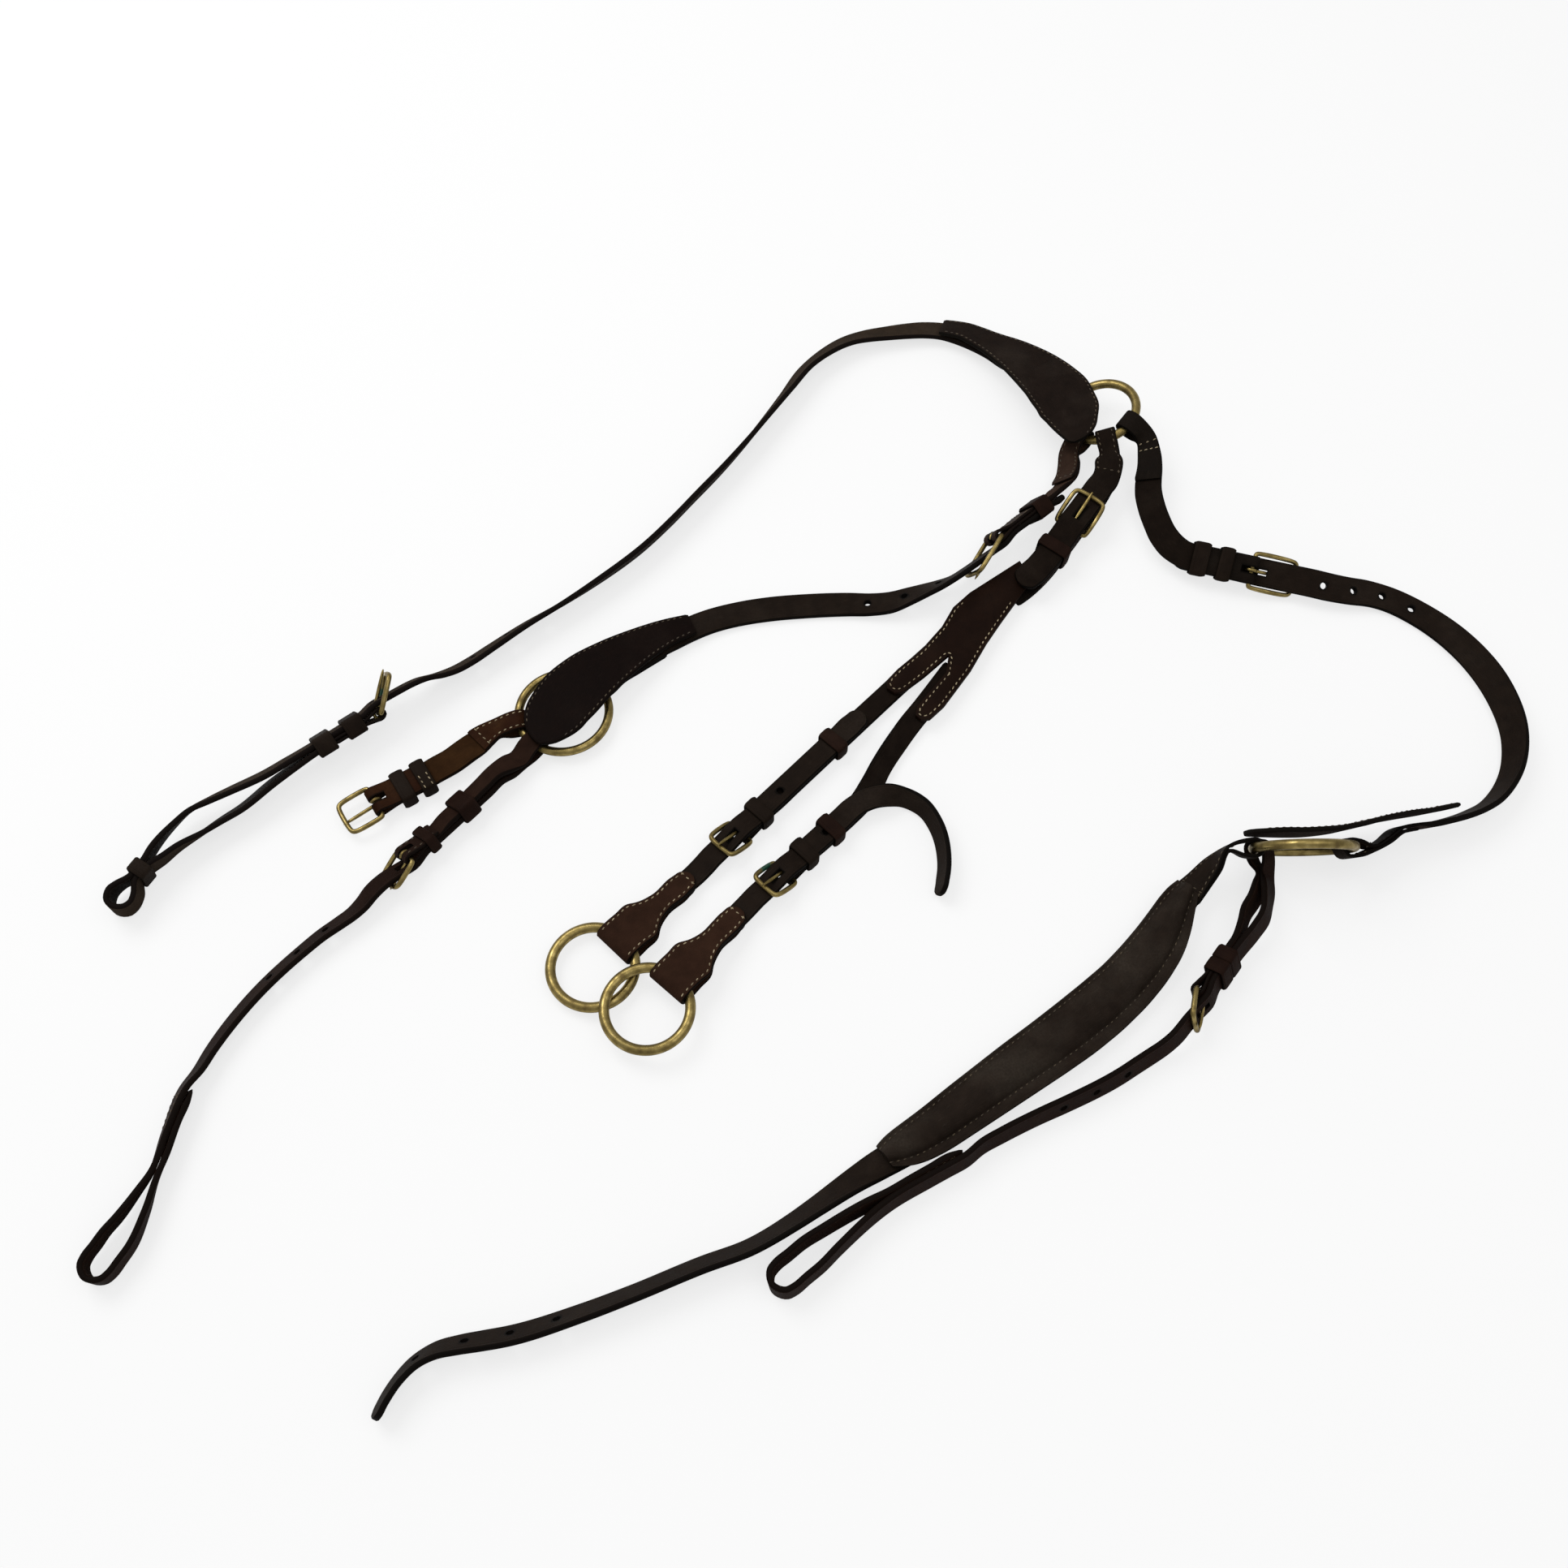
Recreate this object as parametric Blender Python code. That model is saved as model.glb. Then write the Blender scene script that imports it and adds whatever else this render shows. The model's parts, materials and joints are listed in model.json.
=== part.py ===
"""Martingale breastplate, lying as taken off the horse.

All lengths below are millimetres; MM turns them into metres. +Z is up and the floor is z = 0.
Each strap is drawn flat first: s runs along the strap, w across it, n through the leather.
It is then laid along its own spine, a smooth route over the floor with a lean at each point
(0 lies flat, 90 stands on edge).
"""
import math

import bmesh
import bpy
from mathutils import Matrix, Vector

MM = 0.001

# Leather
LEATHER = 3.0  # thickness of a strap
SKIVED = 1.8  # thickness where a strap is thinned to be turned back
GAP = 0.35  # air between pieces that lie against each other
KEEPER_ROOM = 0.55  # air round the straps inside a keeper
STATION_STEP = 12.0  # longest stretch of strap between two sections

# Strap widths
NECK_WIDTH = 16.0
GIRTH_WIDTH = 17.0
WITHER_WIDTH = 16.0
SADDLE_WIDTH = 13.0
BRANCH_WIDTH = 12.7
LOOP_WIDTH = 12.0  # straps narrow to this where they pass round a ring
TAB_WIDTH = 23.0  # the flared fold that holds a martingale ring

# Rings: radius of the wire's middle line, and radius of the wire
CHEST_RING = 21.0
CHEST_WIRE = 2.75
WITHER_RING = 25.0
WITHER_WIRE = 2.6
REIN_RING = 21.75
REIN_WIRE = 2.75

# Buckles
BUCKLE_WIRE = 1.4
TONGUE_WIRE = 1.05
FRAME_SIDE_ROOM = 0.7  # between a strap's edge and the frame
FRAME_CORNER = 3.5
HEEL_CORNER = 2.2
FRAME_LONG = 26.0  # bar to front, on the neck, girth and martingale straps
FRAME_SHORT = 17.0  # bar to front, on the saddle and branch straps
FRAME_OPEN = 19.0  # bar to front, on the wither strap
TONGUE_PAST_FRONT = 2.6
TONGUE_SLOT_ROOM = 0.8

# Keepers
KEEPER_WALL = 1.5
KEEPER_LONG = 11.0
KEEPER_SHORT = 8.0

# Turned-back ends
TURN_BACK = 28.0
MERGE = 9.0  # how far from a bar the two layers of a fold come together
EASE = 7.0  # stretch over which skived leather grows to its full thickness

HOLE_RADIUS = 1.9
HOLE_SIDES = 8

# Levels through a buckled stack, measured from the bar's middle
FOLD_RADIUS = BUCKLE_WIRE + GAP + SKIVED / 2
PLY = SKIVED / 2 + 0.15
STACK_TOP = PLY + SKIVED / 2
BILLET_LEVEL = STACK_TOP + GAP + LEATHER / 2
TONGUE_RISE = BUCKLE_WIRE + 0.25 + TONGUE_WIRE
BILLET_OVER_BAR = TONGUE_RISE + TONGUE_WIRE + GAP + 0.05 + LEATHER / 2
CHAPE_LEVEL = STACK_TOP - LEATHER / 2
KEEPER_NEAR = 1.95  # from the strap's middle to a keeper's inside, on the side with no billet
KEEPER_FAR = BILLET_LEVEL + 1.5  # the same on the side where the billet lies

# Lengths of the turned-back ends on the rings
GIRTH_TURN_BACK = 44.0
NECK_TURN_BACK = 42.0
WITHER_TURN_BACK = 46.0
LEFT_CHAPE_BACK = 38.0
RIGHT_CHAPE_BACK = 40.0
WITHER_CHAPE_BACK = 26.0

# Buckle frames' own lengths, and how far each frame stands off its strap, in degrees
FRAME_GIRTH = 22.0
FRAME_MARTINGALE = 22.0
GIRTH_TILT = 45.0
LEFT_NECK_TILT = 20.0
RIGHT_NECK_TILT = 14.0
LEFT_SADDLE_TILT = 20.0
RIGHT_SADDLE_TILT = 24.0
MARTINGALE_TILT = 22.0
BRANCH_TILT = 22.0
WITHER_TILT = 4.0
WITHER_TONGUE_LIFT = 4.0

# Spare holes: how far each lies from its buckle's bar, or from the billet's tip
GIRTH_HOLES = (62.0, 84.0, 106.0)
LEFT_NECK_HOLES = (44.0, 66.0, 88.0)
RIGHT_NECK_HOLES = (42.0, 60.0, 78.0, 96.0)
SADDLE_HOLES = (56.0, 74.0, 92.0)
WITHER_HOLES = (30.0, 52.0, 74.0, 96.0)

# Safes, pad, fork and tabs
SAFE_LEATHER = 2.6
PAD_FLAT = 2.4
PAD_CROWN = 3.4
FORK_HEIGHT = 7.6
TAB_LEVEL = 2.8

# Routes: where each strap lies in plan, and its lean
GIRTH_OUT = [
    (68, 316, -24),
    (40, 308, -36),
    (18, 290, -48),
    (-3, 257, -60),
    (-31, 214, -67),
    (-55, 182, -68),
    (-78, 153, -67),
    (-102, 130, -64),
    (-124, 112, -59),
    (-146, 96, -54),
    (-167, 79, -50),
    (-187, 63, -49),
]
GIRTH_LOOP = [
    (-273, -3, -50, 8.7),
    (-291, -16.5, -52, 8.7),
    (-309, -28.5, -58, 9.0),
    (-322, -42, -68, 10.4),
    (-327, -49, -72, 10.8),
    (-335, -62, -74, 10.8),
    (-339, -69, -76, 9.2),
    (-345, -79, -80, 8.9),
]
GIRTH_LOOP_SPOTS = ((-273, -3), (-291, -16), (-309, -28), (-332, -57), (-341, -72))
GIRTH_SAFE = [
    (99, 318, 8.5, 16, 16.0),
    (113, 313.6, 9.7, 14, 18.0),
    (126, 304.5, 11.2, 11, 21.0),
    (141, 291, 14.4, 4, 27.0),
    (155, 274, 18.0, 0, 34.0),
    (166, 256, 20.6, -4, 38.0),
    (171, 240, 21.6, -5, 36.0),
    (172, 228, 21.8, -5, 27.0),
    (171, 220, 21.8, -5, 15.0),
    (170, 216, 21.8, -5, 5.0),
]
LEFT_SAFE = [
    (-52, 98, 7.0, 0, 14.0),
    (-66, 91.5, 8.4, 0, 18.0),
    (-80, 82, 11.0, 0, 23.0),
    (-94, 71, 13.0, 0, 29.0),
    (-108, 58, 14.4, 0, 35.0),
    (-118, 46, 14.6, 0, 37.0),
    (-125, 34, 14.6, 0, 34.0),
    (-129, 25, 14.6, 0, 25.0),
    (-131, 19.5, 14.6, 0, 14.0),
    (-132, 17, 14.6, 0, 5.0),
]
RIGHT_SAFE = [
    (352, -20.7, 15.6, -68, 14.0),
    (338, -25.0, 18.0, -69, 18.0),
    (322, -28.7, 20.6, -70, 24.0),
    (306, -32.7, 22.4, -70, 31.0),
    (290, -37.2, 22.8, -70, 36.0),
    (272, -39.5, 22.8, -70, 37.0),
    (256, -39.7, 22.8, -70, 33.0),
    (246, -39.8, 22.8, -70, 25.0),
    (240, -39.9, 22.8, -70, 14.0),
    (238, -39.9, 22.8, -70, 5.0),
]
LEFT_SADDLE_OUT = [
    (-221, -76, -38, 3.2),
    (-238, -91, -43, 1.8),
    (-257, -111, -45, 1.8),
    (-274, -134, -46, 1.8),
    (-286, -157, -50, 1.8),
    (-292.5, -176, -58, 3.4),
    (-300, -213, -68, 3.4),
    (-307.5, -236, -78, 8.6),
    (-316, -252, -82, 8.6),
    (-325, -266, -83, 8.6),
]
RIGHT_SADDLE_OUT = [
    (184, -151, 68, 2.6),
    (171, -160.5, 70, 1.8),
    (148, -173, 72, 1.8),
    (112, -189.5, 74, 1.8),
    (84, -205, 76, 3.4),
    (53, -222, 78, 3.4),
    (35, -233, 80, 5.0),
    (19, -245, 82, 8.6),
    (7, -254.5, 83, 8.6),
    (-6, -265, 83, 8.6),
]
RIGHT_NECK_OUT = [
    (361, 108, -8),
    (380, 88, -20),
    (394, 60, -38),
    (398.5, 30, -53),
    (392, 4, -62),
    (379, -13.5, -66),
]
PAD_MIDDLE = [(175, -114), (147, -138), (113, -162), (86, -181), (64, -196)]
WITHER_TAIL = [
    (46, -207, -20),
    (32, -216, -38),
    (13, -229, -52),
    (-12, -244.5, -58),
    (-40, -255, -58),
    (-62, -264, -58),
    (-91, -275, -56),
    (-128, -286, -54),
    (-149, -289.5, -56),
    (-162, -293.5, -60),
    (-170, -300, -64),
    (-177, -310, -66),
    (-182, -321, -66),
]
PAD_START = (212, -63.5)
PAD_END = (45, -207.5)
PAD_SHAPE = [  # share of the pad's length, and the width there
    (0, 10),
    (0.015, 15),
    (0.05, 19),
    (0.1, 23),
    (0.16, 27),
    (0.23, 29),
    (0.3, 30),
    (0.38, 31),
    (0.46, 31),
    (0.54, 30),
    (0.62, 29),
    (0.7, 27.5),
    (0.78, 26),
    (0.86, 24),
    (0.92, 22),
    (0.96, 19),
    (0.985, 15),
    (1, 10),
]
FORK_OUTLINE = [
    (136, 140),
    (121, 129),
    (106, 118),
    (96, 108),
    (89, 95),
    (77, 80),
    (63, 67),
    (57, 60),
    (57, 55),
    (61, 52),
    (66, 53),
    (78, 63),
    (92, 76.5),
    (90, 65),
    (79, 51),
    (73, 43),
    (72, 38),
    (75, 35),
    (80, 36),
    (88, 44),
    (104, 67),
    (114, 85),
    (123, 99),
    (131, 111),
    (142, 127),
]
BRANCH_TAIL = [
    (81, -68, 6.8, 68),
    (84, -50, 6.8, 70),
    (82, -32, 6.8, 70),
    (75, -18, 6.8, 68),
    (63, -11, 7.2, 58),
    (54, -11, 9.2, 32),
    (46, -13, 7.0, 8),
]
BRANCH_TAIL_TIP = (81, -68)

# The model's frame: this plan point of the traced layout is the origin
PLAN_X = 27.428
PLAN_Y = 2.743


def hermite(route, step):
    """Points every few millimetres on a smooth curve through the route's own points."""
    points = [Vector(p) for p in route]
    gaps = [max((b - a).xyz.length, 1e-6) for a, b in zip(points, points[1:])]
    slopes = [(b - a) / g for a, b, g in zip(points, points[1:], gaps)]
    tangents = [slopes[0]]
    for i in range(1, len(points) - 1):
        before, after = gaps[i - 1], gaps[i]
        tangents.append((slopes[i - 1] * after + slopes[i] * before) / (before + after))
    tangents.append(slopes[-1])
    curve = []
    for i, gap in enumerate(gaps):
        pieces = max(2, math.ceil(gap / step))
        for k in range(pieces):
            t = k / pieces
            curve.append(
                points[i] * (2 * t**3 - 3 * t**2 + 1)
                + tangents[i] * gap * (t**3 - 2 * t**2 + t)
                + points[i + 1] * (3 * t**2 - 2 * t**3)
                + tangents[i + 1] * gap * (t**3 - t**2)
            )
    curve.append(points[-1])
    return curve


class Spine:
    """The line a strap is laid along. Route points are (x, y, z, lean in degrees)."""

    def __init__(self, route):
        curve = hermite([(p[0] - PLAN_X, p[1] - PLAN_Y, p[2], p[3]) for p in route], 3.0)
        self.points = [p.xyz for p in curve]
        self.leans = [p.w for p in curve]
        self.at = [0.0]
        for a, b in zip(self.points, self.points[1:]):
            self.at.append(self.at[-1] + (b - a).length)
        self.length = self.at[-1]
        last = len(self.points) - 1
        self.tangents = [
            (self.points[min(i + 1, last)] - self.points[max(i - 1, 0)]).normalized()
            for i in range(last + 1)
        ]

    def frame(self, s):
        """Position, direction of travel, width direction and outward normal at distance s."""
        i = 0
        while i < len(self.at) - 2 and self.at[i + 1] < s:
            i += 1
        span = self.at[i + 1] - self.at[i]
        t = min(max((s - self.at[i]) / span, 0.0), 1.0)
        travel = self.tangents[i].lerp(self.tangents[i + 1], t).normalized()
        point = self.points[i].lerp(self.points[i + 1], t)
        point = point + travel * (min(s, 0.0) + max(s - self.length, 0.0))
        lean = math.radians(self.leans[i] + (self.leans[i + 1] - self.leans[i]) * t)
        side = travel.cross(Vector((0, 0, 1))).normalized()
        up = side.cross(travel)
        width = side * math.cos(lean) + up * math.sin(lean)
        normal = up * math.cos(lean) - side * math.sin(lean)
        return point, travel, width, normal

    def place(self, s, w, n):
        point, _, width, normal = self.frame(s)
        return point + width * w + normal * n

    def nearest(self, x, y):
        """Distance along the spine of the point nearest to a plan position."""
        target = Vector((x - PLAN_X, y - PLAN_Y))
        i = min(range(len(self.points)), key=lambda k: (self.points[k].xy - target).length)
        return self.at[i]


class Ring:
    """A plain round ring: its middle, its plane and its wire."""

    def __init__(self, name, centre, across, upward, radius, wire):
        self.name = name
        self.centre = Vector(centre)
        self.across = Vector(across).normalized()
        self.upward = Vector(upward).normalized()
        self.radius = radius
        self.wire = wire

    def point(self, degrees):
        return self.centre + self.outward(degrees) * self.radius

    def outward(self, degrees):
        a = math.radians(degrees)
        return self.across * math.cos(a) + self.upward * math.sin(a)

    def tangent(self, degrees):
        a = math.radians(degrees)
        return self.upward * math.cos(a) - self.across * math.sin(a)

    def bow(self, width):
        """How far the wire curves away under a loop of this width."""
        return self.radius - math.sqrt(self.radius**2 - (width / 2) ** 2)

    def leaving(self, degrees, direction=None, reach=(0.0, 6.0, 12.0)):
        """Route points of a strap that leaves the wire here, square to it."""
        wire = self.tangent(degrees)
        away = Vector(direction) if direction else self.outward(degrees)
        away = (away - wire * away.dot(wire)).normalized()
        side = away.cross(Vector((0, 0, 1))).normalized()
        up = side.cross(away)
        width = wire if wire.dot(side) > 0 else -wire
        lean = math.degrees(math.atan2(width.dot(up), width.dot(side)))
        start = self.point(degrees)
        return [(*(start + away * r), lean) for r in reach]

    def arriving(self, degrees, direction=None, reach=(0.0, 6.0, 12.0)):
        """The same for a strap that ends on the wire."""
        points = self.leaving(degrees, direction, reach)
        return [(x, y, z, -lean) for x, y, z, lean in reversed(points)]


class Buckle:
    """A buckle on a spine. a runs from the bar to the front, b from the chape to the billet."""

    def __init__(self, name, spine, s, front, side, strap_width, length, tilt):
        self.name = name
        self.spine = spine
        self.s = s
        self.front = front
        self.side = side
        self.strap_width = strap_width
        self.length = length
        self.tilt = math.radians(tilt)
        self.half = strap_width / 2 + FRAME_SIDE_ROOM + BUCKLE_WIRE
        self.origin, travel, width, normal = spine.frame(s)
        self.axes = (travel * front, width, normal * side)

    def flat(self, a, b, thickness):
        """A station of a strap's drawing."""
        return (self.s + self.front * a, self.side * b, thickness, self.strap_width)

    def world(self, a, w, b):
        x, y, z = self.axes
        return self.origin + x * a + y * w + z * b

    def tilted(self, a, w, b):
        """A point measured along the tilted frame."""
        c, s = math.cos(self.tilt), math.sin(self.tilt)
        return self.world(a * c - b * s, w, a * s + b * c)

    def box(self, low, high, tilted=False):
        """The matrix that turns a unit cube into a box between two corners."""
        put = self.tilted if tilted else self.world
        middle = [(p + q) / 2 for p, q in zip(low, high)]
        zero = put(0, 0, 0)
        columns = [
            (put(*(float(i == k) for i in range(3))) - zero) * (high[k] - low[k])
            for k in range(3)
        ]
        place = Matrix.Translation(put(*middle) * MM)
        turn = Matrix([c * MM for c in columns]).transposed()
        return place @ turn.to_4x4()

    def chape(self, length=TURN_BACK):
        """The strap turned round the bar: from the end of its turn-back to full thickness."""
        flat, r = self.flat, FOLD_RADIUS
        line = [flat(-length, -PLY, SKIVED), flat(-MERGE, -PLY, SKIVED)]
        line += [flat(-0.4 * MERGE, -0.8 * r, SKIVED)]
        line += [
            flat(r * math.cos(math.radians(t)), r * math.sin(math.radians(t)), SKIVED)
            for t in range(-90, 91, 30)
        ]
        line += [flat(-0.4 * MERGE, 0.8 * r, SKIVED), flat(-MERGE, PLY, SKIVED)]
        line += [flat(-length - 0.5, PLY, SKIVED)]
        line += [flat(-length - EASE, CHAPE_LEVEL, LEATHER)]
        return line

    def billet(self, before, after, settle):
        """The strap that passes through: from a = -before to where it settles at level settle."""
        flat = self.flat
        front_a = self.length * math.cos(self.tilt)
        room = BUCKLE_WIRE + GAP + 0.1 + LEATHER / 2
        front_b = min(self.length * math.sin(self.tilt) - room, BILLET_OVER_BAR - 0.8)
        line = [flat(-before, BILLET_LEVEL, LEATHER), flat(-MERGE, BILLET_LEVEL, LEATHER)]
        line += [flat(0, BILLET_OVER_BAR, LEATHER), flat(front_a, front_b, LEATHER)]
        drop = front_b - settle
        for k in (0.25, 0.5, 0.75, 1.0):
            level = front_b - drop * (3 * k**2 - 2 * k**3)
            line.append(flat(front_a + 3 + (after - front_a - 3) * k, level, LEATHER))
        return line

    def chape_slot(self):
        """Where the tongue's eye sits in the fold."""
        half = TONGUE_WIRE + TONGUE_SLOT_ROOM
        reach = TONGUE_RISE + TONGUE_WIRE + 1.5
        top = FOLD_RADIUS + SKIVED / 2 + 0.25
        return [("box", self.box((-reach, -half, -reach), (reach + 1, half, top)))]

    def tongue_hole(self):
        """The strap hole, opened along the tongue."""
        half = TONGUE_WIRE + 0.6
        low = (0.6, -half, TONGUE_RISE - TONGUE_WIRE - 0.45)
        high = (self.length - 2.5, half, TONGUE_RISE + TONGUE_WIRE + 1.3)
        return [("box", self.box(low, high, tilted=True))]


# Rings in the traced plan
CHEST = Ring(
    "chest_ring", (191, 243, 17), (0.94, 0, 0.342), (0, 1, 0), CHEST_RING, CHEST_WIRE
)
LEFT_WITHER = Ring(
    "left_wither_ring", (-121, 41, 6.5), (1, 0, 0), (0, 1, 0), WITHER_RING, WITHER_WIRE
)
RIGHT_WITHER = Ring(
    "right_wither_ring",
    (266, -50, 26.5),
    (1, 0, 0),
    (0, -0.342, 0.94),
    WITHER_RING,
    WITHER_WIRE,
)
LEFT_REIN = Ring(
    "left_martingale_ring", (-97, -107, 5.6), (1, 0, 0), (0, 1, 0), REIN_RING, REIN_WIRE
)
RIGHT_REIN = Ring(
    "right_martingale_ring", (-68, -131, 11.4), (1, 0, 0), (0, 1, 0), REIN_RING, REIN_WIRE
)


def clear_scene():
    for thing in list(bpy.data.objects):
        bpy.data.objects.remove(thing, do_unlink=True)


def collection(name):
    made = bpy.data.collections.new(name)
    bpy.context.scene.collection.children.link(made)
    return made


def material(name, colour, roughness, metallic=0.0):
    made = bpy.data.materials.new(name)
    made.use_nodes = True
    shader = made.node_tree.nodes["Principled BSDF"]
    shader.inputs["Base Color"].default_value = (*colour, 1.0)
    shader.inputs["Roughness"].default_value = roughness
    shader.inputs["Metallic"].default_value = metallic
    return made


LOOKS = {
    "dark_leather": ((0.012, 0.009, 0.007), 0.55, 0.0),
    "red_leather": ((0.045, 0.014, 0.009), 0.5, 0.0),
    "tan_leather": ((0.16, 0.05, 0.015), 0.6, 0.0),
    "brass": ((0.42, 0.28, 0.09), 0.35, 1.0),
}


def finish(thing, look, group):
    group.objects.link(thing)
    colour, roughness, metallic = LOOKS[look]
    thing.data.materials.append(material(thing.name + "_" + look, colour, roughness, metallic))
    return thing


def loft(name, sections, look, group):
    """A closed skin over sections that all have the same number of corners."""
    mesh = bmesh.new()
    rows = [[mesh.verts.new(p * MM) for p in section] for section in sections]
    count = len(rows[0])
    for a, b in zip(rows, rows[1:]):
        for k in range(count):
            mesh.faces.new((a[k], a[(k + 1) % count], b[(k + 1) % count], b[k]))
    mesh.faces.new(list(reversed(rows[0])))
    mesh.faces.new(rows[-1])
    bmesh.ops.recalc_face_normals(mesh, faces=mesh.faces)
    data = bpy.data.meshes.new(name)
    mesh.to_mesh(data)
    mesh.free()
    return finish(bpy.data.objects.new(name, data), look, group)


def cut(thing, solids, cutters):
    """Take boxes and drill holes out of a piece with one cutter."""
    mesh = bmesh.new()
    for kind, matrix in solids:
        if kind == "box":
            bmesh.ops.create_cube(mesh, size=1.0, matrix=matrix)
        else:
            bmesh.ops.create_cone(
                mesh,
                cap_ends=True,
                segments=HOLE_SIDES,
                radius1=HOLE_RADIUS * MM,
                radius2=HOLE_RADIUS * MM,
                depth=3 * LEATHER * MM,
                matrix=matrix,
            )
    bmesh.ops.recalc_face_normals(mesh, faces=mesh.faces)
    data = bpy.data.meshes.new(thing.name + "_cutter")
    mesh.to_mesh(data)
    mesh.free()
    cutter = bpy.data.objects.new(thing.name + "_cutter", data)
    cutter.hide_render = True
    cutter.display_type = "WIRE"
    cutters.objects.link(cutter)
    boolean = thing.modifiers.new("cuts", "BOOLEAN")
    boolean.operation = "DIFFERENCE"
    boolean.solver = "EXACT"
    boolean.object = cutter


def strap(name, spine, line, look, group):
    """A strap drawn flat as stations (s, n, thickness, width), then laid along its spine."""
    stops = [line[0]]
    for station in line[1:]:
        last = stops[-1]
        gap = math.hypot(station[0] - last[0], station[1] - last[1])
        pieces = max(1, math.ceil(gap / STATION_STEP))
        for k in range(1, pieces + 1):
            stops.append(tuple(a + (b - a) * k / pieces for a, b in zip(last, station)))
    sections = []
    final = len(stops) - 1
    for i, (s, n, thickness, width) in enumerate(stops):
        before, after = stops[max(i - 1, 0)], stops[min(i + 1, final)]
        along = Vector((after[0] - before[0], after[1] - before[1])).normalized()
        lift = Vector((-along.y, along.x)) * thickness / 2
        half = width / 2
        corners = [(half, 1), (-half, 1), (-half, -1), (half, -1)]
        sections.append([spine.place(s + lift.x * k, w, n + lift.y * k) for w, k in corners])
    return loft(name, sections, look, group)


def wire(name, points, radius, group, origin=None, closed=False):
    """A bent brass wire through world points."""
    origin = Vector((0, 0, 0)) if origin is None else origin
    curve = bpy.data.curves.new(name, "CURVE")
    curve.dimensions = "3D"
    curve.bevel_depth = radius * MM
    curve.bevel_resolution = 2 if radius > TONGUE_WIRE else 1
    curve.use_fill_caps = not closed
    spline = curve.splines.new("POLY")
    spline.points.add(len(points) - 1)
    for knot, point in zip(spline.points, points):
        knot.co = (*((point - origin) * MM), 1.0)
    spline.use_cyclic_u = closed
    thing = bpy.data.objects.new(name, curve)
    thing.location = origin * MM
    return finish(thing, "brass", group)


def make_ring(ring, group):
    """A ring of round brass wire, with its origin in its middle."""
    bpy.ops.mesh.primitive_torus_add(
        major_segments=26,
        minor_segments=8,
        major_radius=ring.radius * MM,
        minor_radius=ring.wire * MM,
    )
    thing = bpy.context.active_object
    thing.name = ring.name
    for home in list(thing.users_collection):
        home.objects.unlink(thing)
    axis = ring.across.cross(ring.upward)
    turn = Matrix((ring.across, ring.upward, axis)).transposed().to_4x4()
    offset = Vector((PLAN_X, PLAN_Y, 0))
    thing.matrix_world = Matrix.Translation((ring.centre - offset) * MM) @ turn
    return finish(thing, "brass", group)


def make_frame(buckle, group):
    """The buckle's wire frame: its heel side is the bar."""
    points = []
    half, length, corner = buckle.half, buckle.length, FRAME_CORNER
    heel = HEEL_CORNER
    for x, y, start, radius in (
        (length - corner, half - corner, 0, corner),
        (heel, half - heel, 90, heel),
        (heel, heel - half, 180, heel),
        (length - corner, corner - half, 270, corner),
    ):
        for k in range(3):
            turn = math.radians(start + 45 * k)
            bend = Vector((math.cos(turn), math.sin(turn))) * radius
            points.append(buckle.tilted(x + bend.x, y + bend.y, 0))
    return wire(buckle.name, points, BUCKLE_WIRE, group, buckle.origin, closed=True)


def make_tongue(buckle, name, group, lift=0.0):
    """The tongue: an eye bent round the bar and a shank that rests on the frame's front."""
    points = []
    for t in range(-30, -271, -40):
        turn = math.radians(t + lift)
        points.append((TONGUE_RISE * math.cos(turn), TONGUE_RISE * math.sin(turn)))
    lifted = math.radians(lift)
    shank = buckle.length + TONGUE_PAST_FRONT
    for a in (0.35 * shank, 0.7 * shank, shank):
        x = a * math.cos(lifted) - TONGUE_RISE * math.sin(lifted)
        y = a * math.sin(lifted) + TONGUE_RISE * math.cos(lifted)
        points.append((x, y))
    return wire(
        name, [buckle.tilted(x, 0, y) for x, y in points], TONGUE_WIRE, group, buckle.origin
    )


def keeper(name, spine, s, strap_width, low, high, length, look, group):
    """A leather loop round a stack of straps whose levels are low and high."""
    low, high = min(low, high) - KEEPER_ROOM, max(low, high) + KEEPER_ROOM
    half = strap_width / 2 + KEEPER_ROOM
    middle = (low + high) / 2
    curve = bpy.data.curves.new(name, "CURVE")
    curve.dimensions = "2D"
    curve.fill_mode = "BOTH"
    curve.extrude = length / 2 * MM
    bevel = 0.9
    for grow in (KEEPER_WALL, 0.0):
        x = half + grow
        y = (high - low) / 2 + grow
        cut_off = bevel if grow else 0.25
        outline = [(x - cut_off, y), (x, y - cut_off)]
        outline += [(x, cut_off - y), (x - cut_off, -y)]
        outline += [(cut_off - x, -y), (-x, cut_off - y)]
        outline += [(-x, y - cut_off), (cut_off - x, y)]
        spline = curve.splines.new("POLY")
        spline.points.add(len(outline) - 1)
        for knot, (u, v) in zip(spline.points, outline):
            knot.co = (u * MM, v * MM, 0, 1)
        spline.use_cyclic_u = True
    thing = bpy.data.objects.new(name, curve)
    _, travel, width, normal = spine.frame(s)
    turn = Matrix((width, normal, width.cross(normal))).transposed().to_4x4()
    thing.matrix_world = Matrix.Translation(spine.place(s, 0, middle) * MM) @ turn
    return finish(thing, look, group)


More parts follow.
